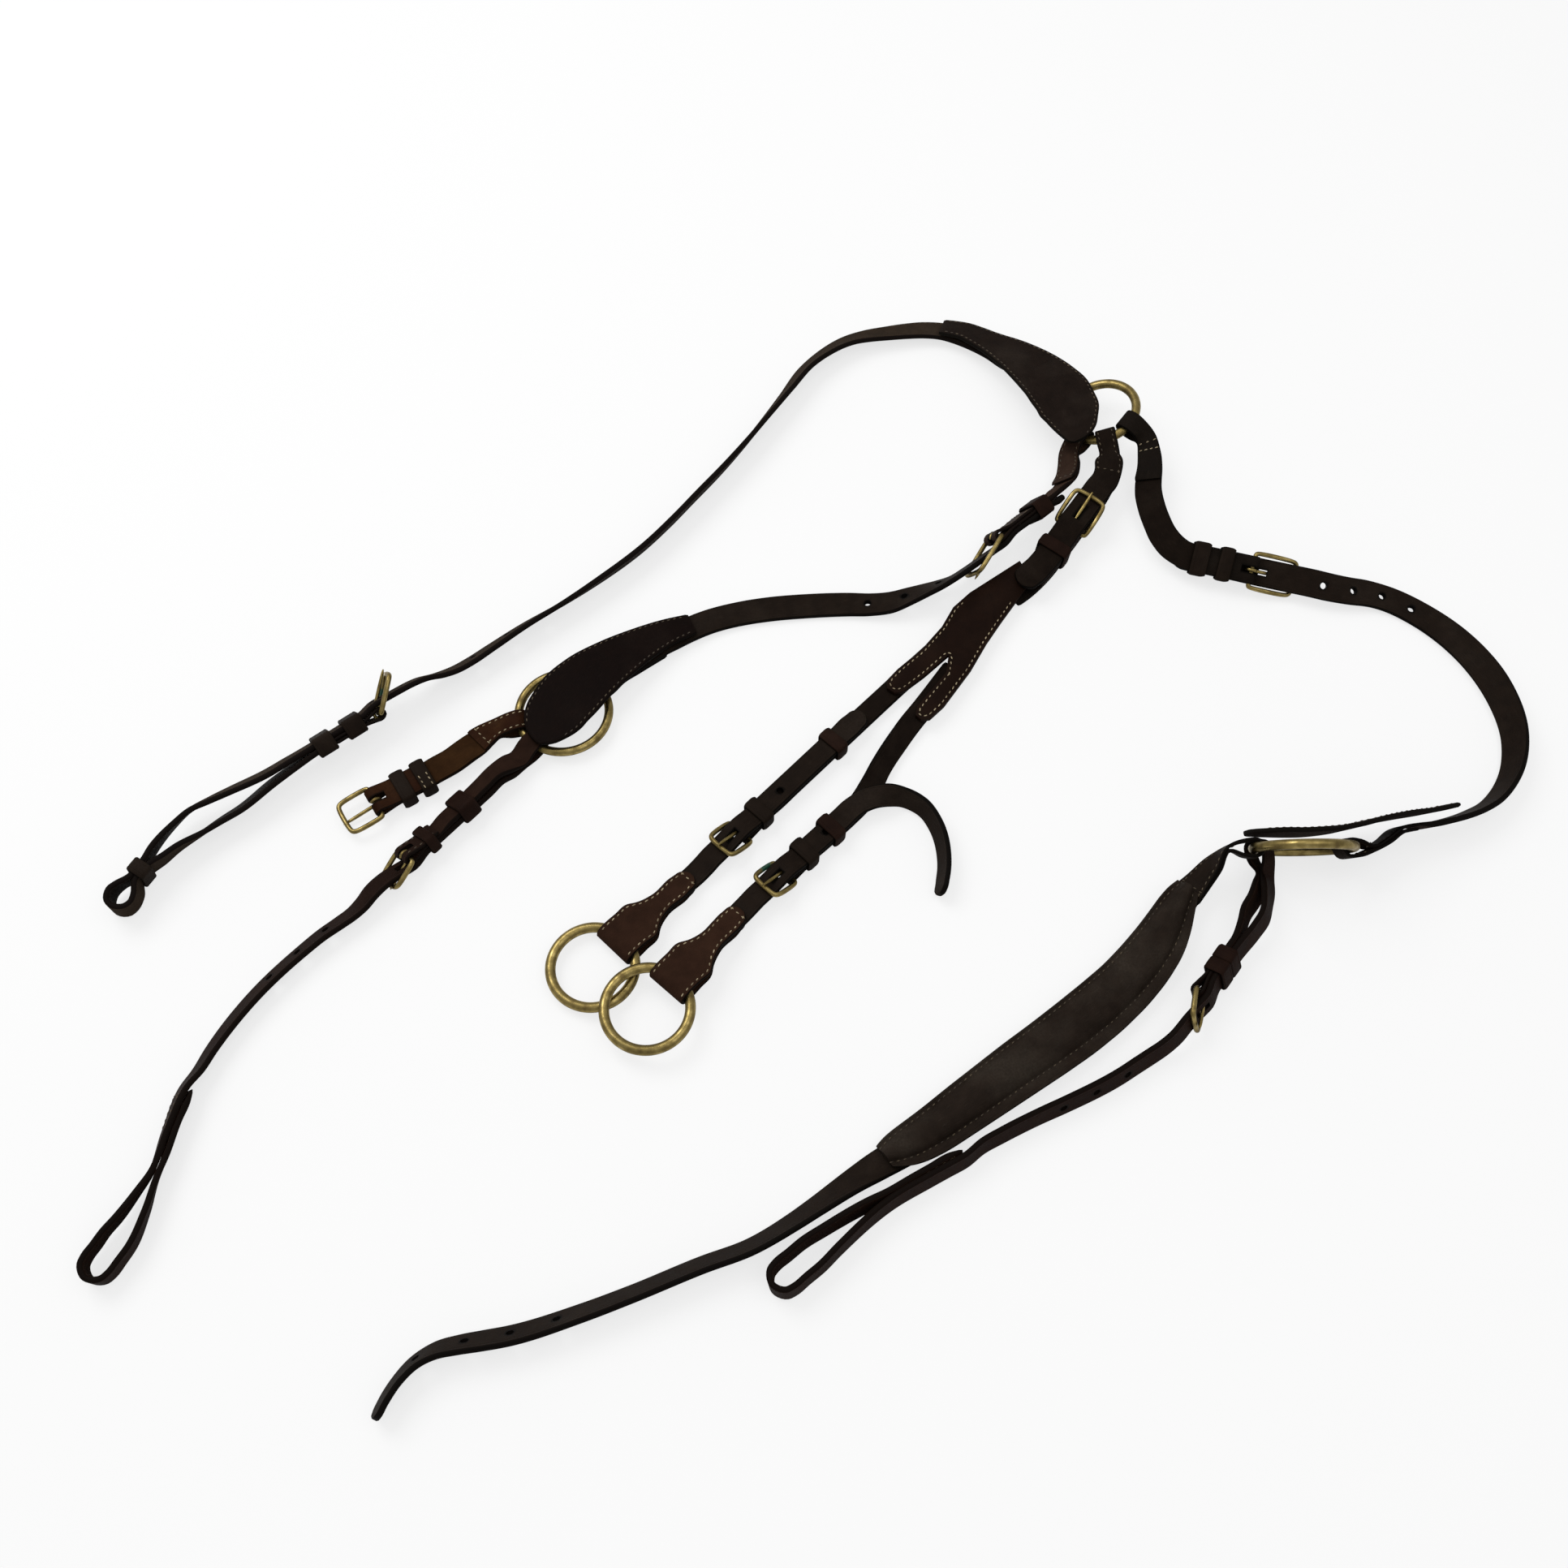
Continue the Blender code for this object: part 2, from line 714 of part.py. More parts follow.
def ring_fold(ring, s, toward, width, level=PLY, swing=20.0):
    """Stations of a strap turned round a ring's wire at s, from the -n layer to the +n layer."""
    bow = ring.bow(width)
    r = ring.wire + GAP + 0.1 + bow * math.sin(math.radians(swing)) + SKIVED / 2
    start = 2.9 * r
    line = [(s - toward * start, -level, SKIVED, width)]
    line += [(s - toward * 1.1 * r, -0.9 * r, SKIVED, width)]
    for t in range(-90, 91, 30):
        turn = math.radians(t)
        line.append((s + toward * (bow + r * math.cos(turn)), r * math.sin(turn), SKIVED, width))
    line += [(s - toward * 1.1 * r, 0.9 * r, SKIVED, width)]
    line += [(s - toward * start, level, SKIVED, width)]
    return line


def rounded(s, n, toward, width, thickness=LEATHER):
    """Stations of a rounded strap end, from the very tip inward."""
    steps = ((0.0, 0.35), (1.5, 0.68), (4.5, 0.92), (8.0, 1.0))
    return [(s + toward * d, n, thickness, width * share) for d, share in steps]


def hole(spine, s, n=0.0):
    """A drill through the leather at s."""
    _, travel, width, normal = spine.frame(s)
    turn = Matrix((travel, width, travel.cross(width))).transposed().to_4x4()
    return ("drill", Matrix.Translation(spine.place(s, 0, n) * MM) @ turn)


def rest(x, y, lean, half, below):
    """A route point on the floor: half is the half-width there, below the depth under the line."""
    turn = math.radians(abs(lean))
    return (x, y, half * math.sin(turn) + below * math.cos(turn), lean)


def straight(start, end, z_start, z_end, lean):
    """Four route points in line, for the stretch of strap that carries a buckle."""
    return [
        (
            start[0] + (end[0] - start[0]) * k,
            start[1] + (end[1] - start[1]) * k,
            z_start + (z_end - z_start) * k,
            lean,
        )
        for k in (0.0, 0.1, 0.9, 1.0)
    ]


def end_loop(s, radius):
    """Stations round the far end of an open strap loop."""
    turns = range(90, -91, -30)
    return [
        (s + radius * math.cos(math.radians(t)), radius * math.sin(math.radians(t)))
        for t in turns
    ]


def stations(pairs, width, thickness=LEATHER):
    return [(s, n, thickness, width) for s, n in pairs]


def chape_to_ring(buckle, ring, turn_back):
    """A strap turned round a buckle's bar at one end and round the ring at s = 0 at the other."""
    width = buckle.strap_width
    level = buckle.side * CHAPE_LEVEL
    ply = buckle.side * PLY
    line = buckle.chape()
    line += [(turn_back + EASE, level, LEATHER, width), (turn_back + 0.5, ply, SKIVED, width)]
    fold = ring_fold(ring, 0.0, -1, LOOP_WIDTH)
    line += fold if buckle.side < 0 else fold[::-1]
    line += [(turn_back, -ply, SKIVED, width)]
    return line


def girth_side(group, cutters):
    """The strap to the girth: through its own buckle, out to a loop and back to the bar."""
    route = CHEST.leaving(138, reach=(0.0, 5.0, 11.0))
    route += [(147, 284, 7.6, -4), (126, 304, 5.6, -12), (99, 318, 4.4, -16)]
    route += [rest(x, y, lean, GIRTH_WIDTH / 2 + 0.2, 1.7) for x, y, lean in GIRTH_OUT]
    run = straight((-204, 50), (-257, 10), 12.6, 11.2, -52)
    route += run
    route += [rest(x, y, lean, half, 7.4) for x, y, lean, half in GIRTH_LOOP]
    spine = Spine(route)
    width = GIRTH_WIDTH
    buckle = Buckle(
        "girth_buckle", spine, spine.nearest(-221, 37), -1, 1, width, FRAME_GIRTH, GIRTH_TILT
    )
    bar = buckle.s
    split, first, second, tie, end = (spine.nearest(*spot) for spot in GIRTH_LOOP_SPOTS)
    fold = ring_fold(CHEST, 0.0, -1, LOOP_WIDTH)
    line = [(GIRTH_TURN_BACK, -PLY, SKIVED, width)] + fold
    line += [(GIRTH_TURN_BACK + 0.5, PLY, SKIVED, width)]
    line += [(GIRTH_TURN_BACK + EASE, 0.4, LEATHER, width)]
    line += buckle.billet(45.0, 60.0, 0.4)[::-1]
    line += stations(
        [(split, 4.4), (first, 6.6), (second, 7.4), (tie - 12, 3.6), (tie - 4, 1.75)]
        + [(tie + 5, 1.75), (tie + 11, 5.2)]
        + end_loop(end, 6.4)
        + [(tie + 11, -5.2), (tie + 5, -1.75), (tie - 4, -1.75), (tie - 12, -3.6)]
        + [(second, -6.0), (first, -4.6), (split, -1.4)],
        width,
    )
    line += buckle.chape()[::-1]
    body = strap("girth_strap", spine, line, "dark_leather", group)
    cut(body, buckle.tongue_hole(), cutters)
    cut(body, buckle.chape_slot(), cutters)
    holes = [hole(spine, bar - step, 0.0) for step in GIRTH_HOLES]
    cut(body, holes, cutters)
    make_frame(buckle, group)
    make_tongue(buckle, "girth_tongue", group)
    for name, spot in (("girth_fixed_keeper", 15.0), ("girth_running_keeper", 33.0)):
        keeper(name, spine, bar + spot, width, -KEEPER_NEAR, 5.35, KEEPER_LONG, "dark_leather", group)
    keeper(
        "girth_loop_keeper", spine, tie, width, -3.35, 3.35, KEEPER_SHORT, "dark_leather", group
    )
    safe(group, "girth_safe", GIRTH_SAFE)
    return buckle


def safe(group, name, shape):
    """A spade-shaped safe: (x, y, z, lean, width) along its middle, narrow end first."""
    spine = Spine([point[:4] for point in shape])
    line = []
    for x, y, _, _, width in shape:
        line.append((spine.nearest(x, y), 0.0, SAFE_LEATHER, width))
    line[0] = (0.0, *line[0][1:])
    line[-1] = (spine.length, *line[-1][1:])
    return strap(name, spine, line, "dark_leather", group)


def left_neck(group, cutters):
    """The left neck strap from the chest ring, through its buckle, to the left wither ring."""
    route = CHEST.leaving(229, reach=(0.0, 5.0, 10.0))
    route += [(169, 203, 10.6, -38)]
    route += straight((154, 180), (98, 131), 15.4, 15.0, -60)
    route += [(80, 119, 10.0, -38), (60, 113.5, 4.6, -12), (34, 114, 2.2, -3)]
    route += [(-7, 111, 2.2, 0), (-38, 104, 2.6, 0), (-60, 92.5, 3.8, 0)]
    route += LEFT_WITHER.arriving(40, reach=(0.0, 6.0, 13.0))
    spine = Spine(route)
    width = NECK_WIDTH
    buckle = Buckle(
        "left_neck_buckle",
        spine,
        spine.nearest(122, 152),
        1,
        -1,
        width,
        FRAME_LONG,
        LEFT_NECK_TILT,
    )
    chape = strap(
        "left_neck_chape",
        spine,
        chape_to_ring(buckle, CHEST, LEFT_CHAPE_BACK),
        "tan_leather",
        group,
    )
    cut(chape, buckle.chape_slot(), cutters)
    line = rounded(buckle.s - 51, -BILLET_LEVEL - 1.0, 1, width)
    line += buckle.billet(41.0, 62.0, -0.45)
    back = NECK_TURN_BACK
    line += [(spine.length - back - EASE, 0.45, LEATHER, width)]
    line += [(spine.length - back - 0.5, PLY, SKIVED, width)]
    line += ring_fold(LEFT_WITHER, spine.length, 1, LOOP_WIDTH)[::-1]
    line += [(spine.length - back, -PLY, SKIVED, width)]
    body = strap("left_neck_strap", spine, line, "dark_leather", group)
    cut(body, buckle.tongue_hole(), cutters)
    cut(body, [hole(spine, buckle.s + step, 0.0) for step in LEFT_NECK_HOLES], cutters)
    make_frame(buckle, group)
    make_tongue(buckle, "left_neck_tongue", group)
    keeper(
        "left_neck_keeper",
        spine,
        buckle.s - 33,
        width,
        -KEEPER_FAR,
        KEEPER_NEAR,
        KEEPER_LONG,
        "red_leather",
        group,
    )
    safe(group, "left_safe", LEFT_SAFE)
    return buckle


def wither_side(group, cutters):
    """The short strap on the left wither ring whose buckle is open."""
    route = LEFT_WITHER.leaving(196, reach=(0.0, 6.0, 12.0))
    route += [(-169, 20, 7.2, 0), (-180, 10, 7.4, 0)]
    route += straight((-188, 4.6), (-232, -23.6), 7.5, 7.5, 0)
    spine = Spine(route)
    width = WITHER_WIDTH
    buckle = Buckle(
        "wither_buckle", spine, spine.nearest(-217, -14), 1, -1, width, FRAME_OPEN, WITHER_TILT
    )
    line = chape_to_ring(buckle, LEFT_WITHER, WITHER_CHAPE_BACK)
    body = strap("wither_buckle_strap", spine, line, "tan_leather", group)
    cut(body, buckle.chape_slot(), cutters)
    make_frame(buckle, group)
    make_tongue(buckle, "wither_tongue", group, lift=WITHER_TONGUE_LIFT)
    low, high = -KEEPER_FAR, KEEPER_NEAR
    keeper(
        "wither_fixed_keeper",
        spine,
        buckle.s - 16,
        width,
        low,
        high,
        KEEPER_SHORT,
        "dark_leather",
        group,
    )
    keeper(
        "wither_running_keeper",
        spine,
        buckle.s - 28,
        width,
        low,
        high,
        KEEPER_SHORT,
        "dark_leather",
        group,
    )
    return buckle


def saddle_strap(side, spine, buckle, ring, loop, bows, swing, parts):
    """A saddle strap: sewn loop, single run, its own buckle, round the ring and back."""
    group, cutters = parts
    width = SADDLE_WIDTH
    sign = buckle.side
    fold = ring_fold(ring, 0.0, -1, LOOP_WIDTH, level=1.3, swing=swing)
    fold = fold if sign > 0 else fold[::-1]
    lead = abs(fold[0][0])
    line = buckle.chape(20.0)
    line += [(buckle.s - 36, sign * 0.2, LEATHER, width)]
    line += [((buckle.s - 36 + lead) / 2 + 3, -sign * bows[0], LEATHER, width)]
    line += [(lead + EASE, -sign * 2.2, LEATHER, width)]
    line += fold
    line += [(lead + EASE, sign * 2.2, LEATHER, width)]
    line += [((buckle.s - 30 + lead) / 2, sign * bows[1], LEATHER, width)]
    line += buckle.billet(30.0, 48.0, 0.0)
    tail, apart, wide, end = (spine.nearest(*spot) for spot in loop)
    line += stations(
        [(tail - 10, 0.0), (tail, 1.75), (apart, 1.75), ((apart + wide) / 2, 4.4), (wide, 7.0)]
        + end_loop(end, 7.0)
        + [(wide, -7.0), ((apart + wide) / 2, -4.4), (apart, -1.75), (tail + EASE, -1.75)],
        width,
    )
    line += [(tail + 0.5, -1.0, 1.2, width - 1)]
    body = strap(side + "_saddle_strap", spine, line, "red_leather", group)
    cut(body, buckle.tongue_hole(), cutters)
    cut(body, buckle.chape_slot(), cutters)
    cut(body, [hole(spine, buckle.s + step, 0.0) for step in SADDLE_HOLES], cutters)
    make_frame(buckle, group)
    make_tongue(buckle, side + "_saddle_tongue", group)


def left_saddle(group, cutters):
    route = LEFT_WITHER.leaving(233, reach=(0.0, 6.0, 12.0))
    route += straight((-156, -0.6), (-213, -65), 10.4, 10.8, -30)
    route += [rest(x, y, lean, SADDLE_WIDTH / 2 + 0.2, b) for x, y, lean, b in LEFT_SADDLE_OUT]
    spine = Spine(route)
    buckle = Buckle(
        "left_saddle_buckle",
        spine,
        spine.nearest(-197, -46),
        1,
        -1,
        SADDLE_WIDTH,
        FRAME_SHORT,
        LEFT_SADDLE_TILT,
    )
    loop = ((-291, -170), (-301, -214), (-312, -243), (-318, -255))
    saddle_strap(
        "left", spine, buckle, LEFT_WITHER, loop, (0.6, 3.8), 20.0, (group, cutters)
    )
    low, high = -KEEPER_FAR, KEEPER_NEAR
    for name, back, length in (
        ("left_saddle_small_keeper", 14.0, 6.0),
        ("left_saddle_big_keeper", 40.0, KEEPER_LONG),
    ):
        keeper(
            name, spine, buckle.s - back, SADDLE_WIDTH, low, high, length, "red_leather", group
        )
    return buckle


def right_saddle(group, cutters):
    route = RIGHT_WITHER.leaving(225, direction=(0, -1, 0), reach=(0.0, 6.0, 12.0))
    route += [(246, -70, 9.2, 56), (238, -84, 10.4, 64)]
    route += straight((230, -95), (195, -139.5), 10.9, 10.9, 66)
    route += [rest(x, y, lean, SADDLE_WIDTH / 2 + 0.2, b) for x, y, lean, b in RIGHT_SADDLE_OUT]
    spine = Spine(route)
    buckle = Buckle(
        "right_saddle_buckle",
        spine,
        spine.nearest(207, -123.5),
        1,
        1,
        SADDLE_WIDTH,
        FRAME_SHORT,
        RIGHT_SADDLE_TILT,
    )
    loop = ((86, -204), (50, -224), (13, -249), (1, -259.5))
    saddle_strap(
        "right", spine, buckle, RIGHT_WITHER, loop, (4.0, 6.0), 80.0, (group, cutters)
    )
    low, high = -KEEPER_NEAR, KEEPER_FAR
    keeper(
        "right_saddle_keeper",
        spine,
        buckle.s - 20.0,
        SADDLE_WIDTH,
        low,
        high,
        2 * KEEPER_SHORT,
        "red_leather",
        group,
    )
    return buckle


def right_neck(group, cutters):
    """The right neck strap from the chest ring, through its buckle, to the right wither ring."""
    route = CHEST.leaving(318, direction=(0.4, -0.9, -0.3), reach=(0.0, 5.0, 10.0))
    route += [(217, 209, 15.4, -22), (214.5, 190, 12.0, -27), (217.5, 165, 11.4, -30)]
    route += [(222, 150, 13.0, -33)]
    route += straight((231, 140), (303, 120.5), 13.8, 13.8, -35)
    route += [(320, 119.5, 9.0, -22), (340, 118.5, 4.6, -10)]
    route += [rest(x, y, lean, NECK_WIDTH / 2 + 0.2, 1.7) for x, y, lean in RIGHT_NECK_OUT]
    route += [(362, -24, 11.5, -67), (340, -31.5, 14.5, -69), (320, -36, 17.0, -70)]
    route += RIGHT_WITHER.arriving(-12, reach=(0.0, 6.0, 13.0))
    spine = Spine(route)
    width = NECK_WIDTH
    buckle = Buckle(
        "right_neck_buckle",
        spine,
        spine.nearest(266, 130),
        1,
        -1,
        width,
        FRAME_LONG,
        RIGHT_NECK_TILT,
    )
    chape = strap(
        "right_neck_chape",
        spine,
        chape_to_ring(buckle, CHEST, RIGHT_CHAPE_BACK),
        "dark_leather",
        group,
    )
    cut(chape, buckle.chape_slot(), cutters)
    line = rounded(buckle.s - 46, -BILLET_LEVEL - 1.0, 1, width)
    line += buckle.billet(36.0, 58.0, -0.45)
    back = NECK_TURN_BACK
    line += [(spine.length - back - EASE, 0.45, LEATHER, width)]
    line += [(spine.length - back - 0.5, PLY, SKIVED, width)]
    line += ring_fold(RIGHT_WITHER, spine.length, 1, LOOP_WIDTH)[::-1]
    line += [(spine.length - back, -PLY, SKIVED, width)]
    body = strap("right_neck_strap", spine, line, "dark_leather", group)
    cut(body, buckle.tongue_hole(), cutters)
    cut(body, [hole(spine, buckle.s + step, 0.0) for step in RIGHT_NECK_HOLES], cutters)
    make_frame(buckle, group)
    make_tongue(buckle, "right_neck_tongue", group)
    low, high = -KEEPER_FAR, KEEPER_NEAR
    for name, step, length in (
        ("right_neck_fixed_keeper", 15.0, KEEPER_SHORT),
        ("right_neck_running_keeper", 29.5, 9.5),
    ):
        keeper(name, spine, buckle.s - step, width, low, high, length, "dark_leather", group)
    safe(group, "right_safe", RIGHT_SAFE)
    return buckle


def wither_billet(group, cutters):
    """The pad and its strap from the right wither ring to a plain pointed end."""
    route = RIGHT_WITHER.leaving(188, reach=(0.0, 6.0, 12.0))
    route += [(220, -57, 14.0, -42), (206, -71, 8.0, -12), (192, -94, 4.0, -2)]
    route += [(x, y, 2.4, 0) for x, y in PAD_MIDDLE]
    route += [rest(x, y, lean, WITHER_WIDTH / 2 + 0.2, 1.7) for x, y, lean in WITHER_TAIL]
    spine = Spine(route)
    width = WITHER_WIDTH
    back = WITHER_TURN_BACK
    line = [(back, -PLY, SKIVED, width)]
    line += ring_fold(RIGHT_WITHER, 0.0, -1, LOOP_WIDTH)
    line += [(back + 0.5, PLY, SKIVED, width), (back + EASE, 0.45, LEATHER, width)]
    line += [(spine.length - 60, 0.0, LEATHER, width)]
    line += rounded(spine.length, 0.0, -1, width - 2)[::-1]
    body = strap("wither_billet_strap", spine, line, "dark_leather", group)
    cut(body, [hole(spine, spine.length - step, 0.0) for step in WITHER_HOLES], cutters)
    make_pad(spine, group)


def make_pad(spine, group):
    """The pad: flat underneath, crowned on top, with rounded ends, sewn along the strap."""
    start, end = spine.nearest(*PAD_START), spine.nearest(*PAD_END)
    sections = []
    lift = PLY + SKIVED / 2 + 3 * GAP + PAD_FLAT
    for stop, wide in PAD_SHAPE:
        s = start + (end - start) * stop
        half, share = wide / 2, 0.55 if stop in (0, 1) else 1.0
        flat, crown = PAD_FLAT * share, PAD_CROWN * share
        outline = [(half, 0.4 * flat), (half - 1, -flat), (1 - half, -flat), (-half, 0.4 * flat)]
        outline += [(-0.62 * half, crown), (0.62 * half, crown)]
        sections.append([spine.place(s, w, n + lift) for w, n in outline])
    loft("wither_pad", sections, "dark_leather", group)


def martingale(group, cutters):
    """The strap on the chest ring that carries the forked piece, with its buckle."""
    route = CHEST.leaving(273.5, reach=(0.0, 5.0, 10.0))
    route += straight((188.5, 192), (149, 137), 14.0, 9.4, 4)
    route += [(139, 126, 8.4, 0), (130, 118, 7.9, 0)]
    spine = Spine(route)
    width = NECK_WIDTH
    buckle = Buckle(
        "martingale_buckle",
        spine,
        spine.nearest(166, 160.5),
        -1,
        1,
        width,
        FRAME_MARTINGALE,
        MARTINGALE_TILT,
    )
    bar = buckle.s
    line = rounded(spine.nearest(143, 122) + 6, BILLET_LEVEL, -1, width)
    line += buckle.billet(26.0, buckle.s - 17.0, 2.6)
    fold = ring_fold(CHEST, 0.0, -1, LOOP_WIDTH, level=1.3)
    line += fold[::-1]
    line += [(bar - 22, -3.8, LEATHER, width), (bar - 8, -6.0, LEATHER, width)]
    line += [(bar + 7, -6.0, LEATHER, width), (bar + 14, -4.3, LEATHER, width)]
    line += [(bar + 27, -4.9, LEATHER, width), (spine.length, -4.7, LEATHER, width - 2)]
    body = strap("martingale_strap", spine, line, "dark_leather", group)
    cut(body, buckle.tongue_hole(), cutters)
    fork(spine, buckle, group, cutters)
    make_frame(buckle, group)
    make_tongue(buckle, "martingale_tongue", group)
    keeper(
        "martingale_keeper",
        spine,
        bar + 18.5,
        width,
        -5.65,
        KEEPER_FAR,
        KEEPER_SHORT,
        "red_leather",
        group,
    )
    return buckle


def fork(spine, buckle, group, cutters):
    """The forked piece: a flat sheet with two legs, its neck turned round the buckle's bar."""
    curve = bpy.data.curves.new("fork_sheet", "CURVE")
    curve.dimensions = "2D"
    curve.fill_mode = "BOTH"
    curve.extrude = LEATHER / 2 * MM
    spline = curve.splines.new("POLY")
    spline.points.add(len(FORK_OUTLINE) - 1)
    for knot, (x, y) in zip(spline.points, FORK_OUTLINE):
        knot.co = ((x - PLAN_X) * MM, (y - PLAN_Y) * MM, 0, 1)
    spline.use_cyclic_u = True
    drawn = bpy.data.objects.new("fork_drawing", curve)
    cutters.objects.link(drawn)
    bpy.context.view_layer.update()
    depsgraph = bpy.context.evaluated_depsgraph_get()
    data = bpy.data.meshes.new_from_object(drawn.evaluated_get(depsgraph))
    mesh = bmesh.new()
    mesh.from_mesh(data)
    bmesh.ops.remove_doubles(mesh, verts=mesh.verts, dist=0.01 * MM)
    mesh.to_mesh(data)
    mesh.free()
    bpy.data.objects.remove(drawn, do_unlink=True)
    sheet = bpy.data.objects.new("fork_sheet", data)
    sheet.location = (0, 0, FORK_HEIGHT * MM)
    sheet.hide_render = True
    sheet.display_type = "WIRE"
    cutters.objects.link(sheet)
    line = buckle.chape(15.0)
    line += [buckle.flat(-24.0, CHAPE_LEVEL, LEATHER)]
    line += [buckle.flat(-34.0, -0.4, LEATHER), buckle.flat(-40.0, -0.7, LEATHER - 0.4)]
    body = strap("fork_piece", spine, line, "red_leather", group)
    joint = body.modifiers.new("sheet", "BOOLEAN")
    joint.operation = "UNION"
    joint.solver = "EXACT"
    joint.object = sheet
    cut(body, buckle.chape_slot(), cutters)
    return body


def ring_tab(side, spine, start, ring, group):
    """The flared fold that holds a martingale ring, sewn over the end of the billet."""
    end = spine.length
    fold = ring_fold(ring, end, 1, TAB_WIDTH, level=TAB_LEVEL, swing=8.0)
    lead = end - fold[0][0]
    flare = end - lead - 12
    line = rounded(start, -TAB_LEVEL, 1, BRANCH_WIDTH, SKIVED)
    line += [(flare, -TAB_LEVEL, SKIVED, BRANCH_WIDTH)]
    line += [(end - lead - 4, -TAB_LEVEL, SKIVED, 0.5 * (BRANCH_WIDTH + TAB_WIDTH))]
    line += fold
    line += [(end - lead - 4, TAB_LEVEL, SKIVED, 0.5 * (BRANCH_WIDTH + TAB_WIDTH))]
    line += [(flare, TAB_LEVEL, SKIVED, BRANCH_WIDTH)]
    line += rounded(start, TAB_LEVEL, 1, BRANCH_WIDTH, SKIVED)[::-1]
    strap(side + "_ring_tab", spine, line, "red_leather", group)


def branch(side, spine, billet_spine, bar_spot, tip_spot, tab_spot, keepers, ring, parts):
    """One branch of the martingale: strap and buckle, billet, tab and keepers."""
    group, cutters = parts
    width = BRANCH_WIDTH
    name = side + "_branch_buckle"
    buckle = Buckle(name, spine, spine.nearest(*bar_spot), 1, 1, width, FRAME_SHORT, BRANCH_TILT)
    line = buckle.chape(18.0)
    line += [(0.0, 0.0, LEATHER, width)]
    body = strap(side + "_branch_strap", spine, line, "dark_leather", group)
    cut(body, buckle.chape_slot(), cutters)
    along = billet_spine.nearest(*bar_spot)
    twin = Buckle(name, billet_spine, along, 1, 1, width, FRAME_SHORT, BRANCH_TILT)
    tail = billet_spine.nearest(*tip_spot)
    line = []
    if tip_spot == BRANCH_TAIL_TIP:
        line += rounded(0.0, 0.0, 1, width)
        line += [(billet_spine.nearest(66, -12), 0.4, LEATHER, width)]
        line += [(along - 52, 3.8, LEATHER, width)]
    else:
        line += rounded(tail, BILLET_LEVEL, 1, width)
    line += twin.billet(42.0, 34.0, 0.0)
    line += [(billet_spine.length - 16, 0.0, LEATHER, width - 1.5)]
    body = strap(side + "_billet", billet_spine, line, "dark_leather", group)
    cut(body, twin.tongue_hole(), cutters)
    cut(body, [hole(billet_spine, along - 30, BILLET_LEVEL)], cutters)
    make_frame(buckle, group)
    make_tongue(buckle, side + "_branch_tongue", group)
    for label, spot in zip(("fixed", "running"), keepers):
        keeper(
            side + "_branch_" + label + "_keeper",
            spine,
            buckle.s - spot,
            width,
            -KEEPER_NEAR,
            KEEPER_FAR,
            KEEPER_SHORT,
            "red_leather" if label == "running" else "dark_leather",
            group,
        )
    ring_tab(side, billet_spine, billet_spine.nearest(*tab_spot), ring, group)
    make_ring(ring, group)
    return buckle


def left_branch(parts):
    route = [(89, 86, 4.0, 0), (78, 75, 4.0, 0), (65, 61.5, 4.0, 0)]
    route += straight((47, 43), (-42, -50.6), 4.0, 4.1, 0)
    route += LEFT_REIN.arriving(46, reach=(0.0, 8.0, 22.0))
    spine = Spine(route)
    return branch(
        "left",
        spine,
        spine,
        (-22.5, -30),
        (43, 39),
        (-48, -57),
        (14.0, 72.0),
        LEFT_REIN,
        parts,
    )


def right_branch(parts):
    top = [(95, 71, 4.0, 0), (86, 58, 4.0, 0), (76, 44, 4.0, 0), (70, 36, 4.0, 3)]
    top += [(61, 22, 5.6, 32), (52, 7, 5.6, 32), (45, -7, 4.4, 8)]
    run = straight((38, -17), (-22, -77.5), 4.1, 6.6, 0)
    end = RIGHT_REIN.arriving(48.6, reach=(0.0, 8.0, 22.0))
    spine = Spine(top + run + end)
    billet_spine = Spine(BRANCH_TAIL + run + end)
    return branch(
        "right",
        spine,
        billet_spine,
        (1, -54.5),
        BRANCH_TAIL_TIP,
        (-22, -79),
        (14.0, 34.0),
        RIGHT_REIN,
        parts,
    )


def main():
    clear_scene()
    group = collection("martingale_breastplate")
    cutters = collection("cutters")
    parts = (group, cutters)
    make_ring(CHEST, group)
    make_ring(LEFT_WITHER, group)
    make_ring(RIGHT_WITHER, group)
    girth_side(group, cutters)
    left_neck(group, cutters)
    wither_side(group, cutters)
    left_saddle(group, cutters)
    right_neck(group, cutters)
    right_saddle(group, cutters)
    wither_billet(group, cutters)
    martingale(group, cutters)
    left_branch(parts)
    right_branch(parts)


main()
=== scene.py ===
# %% [markdown]
# # Martingale breastplate, laid out flat
#
# The harness arrives as sixty stiff solids: straps with square edges, rings and buckles with
# few sides. This script gives each of them its real surface. The straps are rebuilt with
# rounded, burnished edges, the holes are punched through them, the seams that show best are
# sewn, and the brass gets its worn, dull shine. Nothing here changes where a piece is: a
# strap follows the cross-sections that its solid was laid out by, and every other piece is
# worked out from the solid that it stands for.

import json
import math

import bmesh
import bpy
import numpy as np
from mathutils import Matrix, Vector
from mathutils.bvhtree import BVHTree

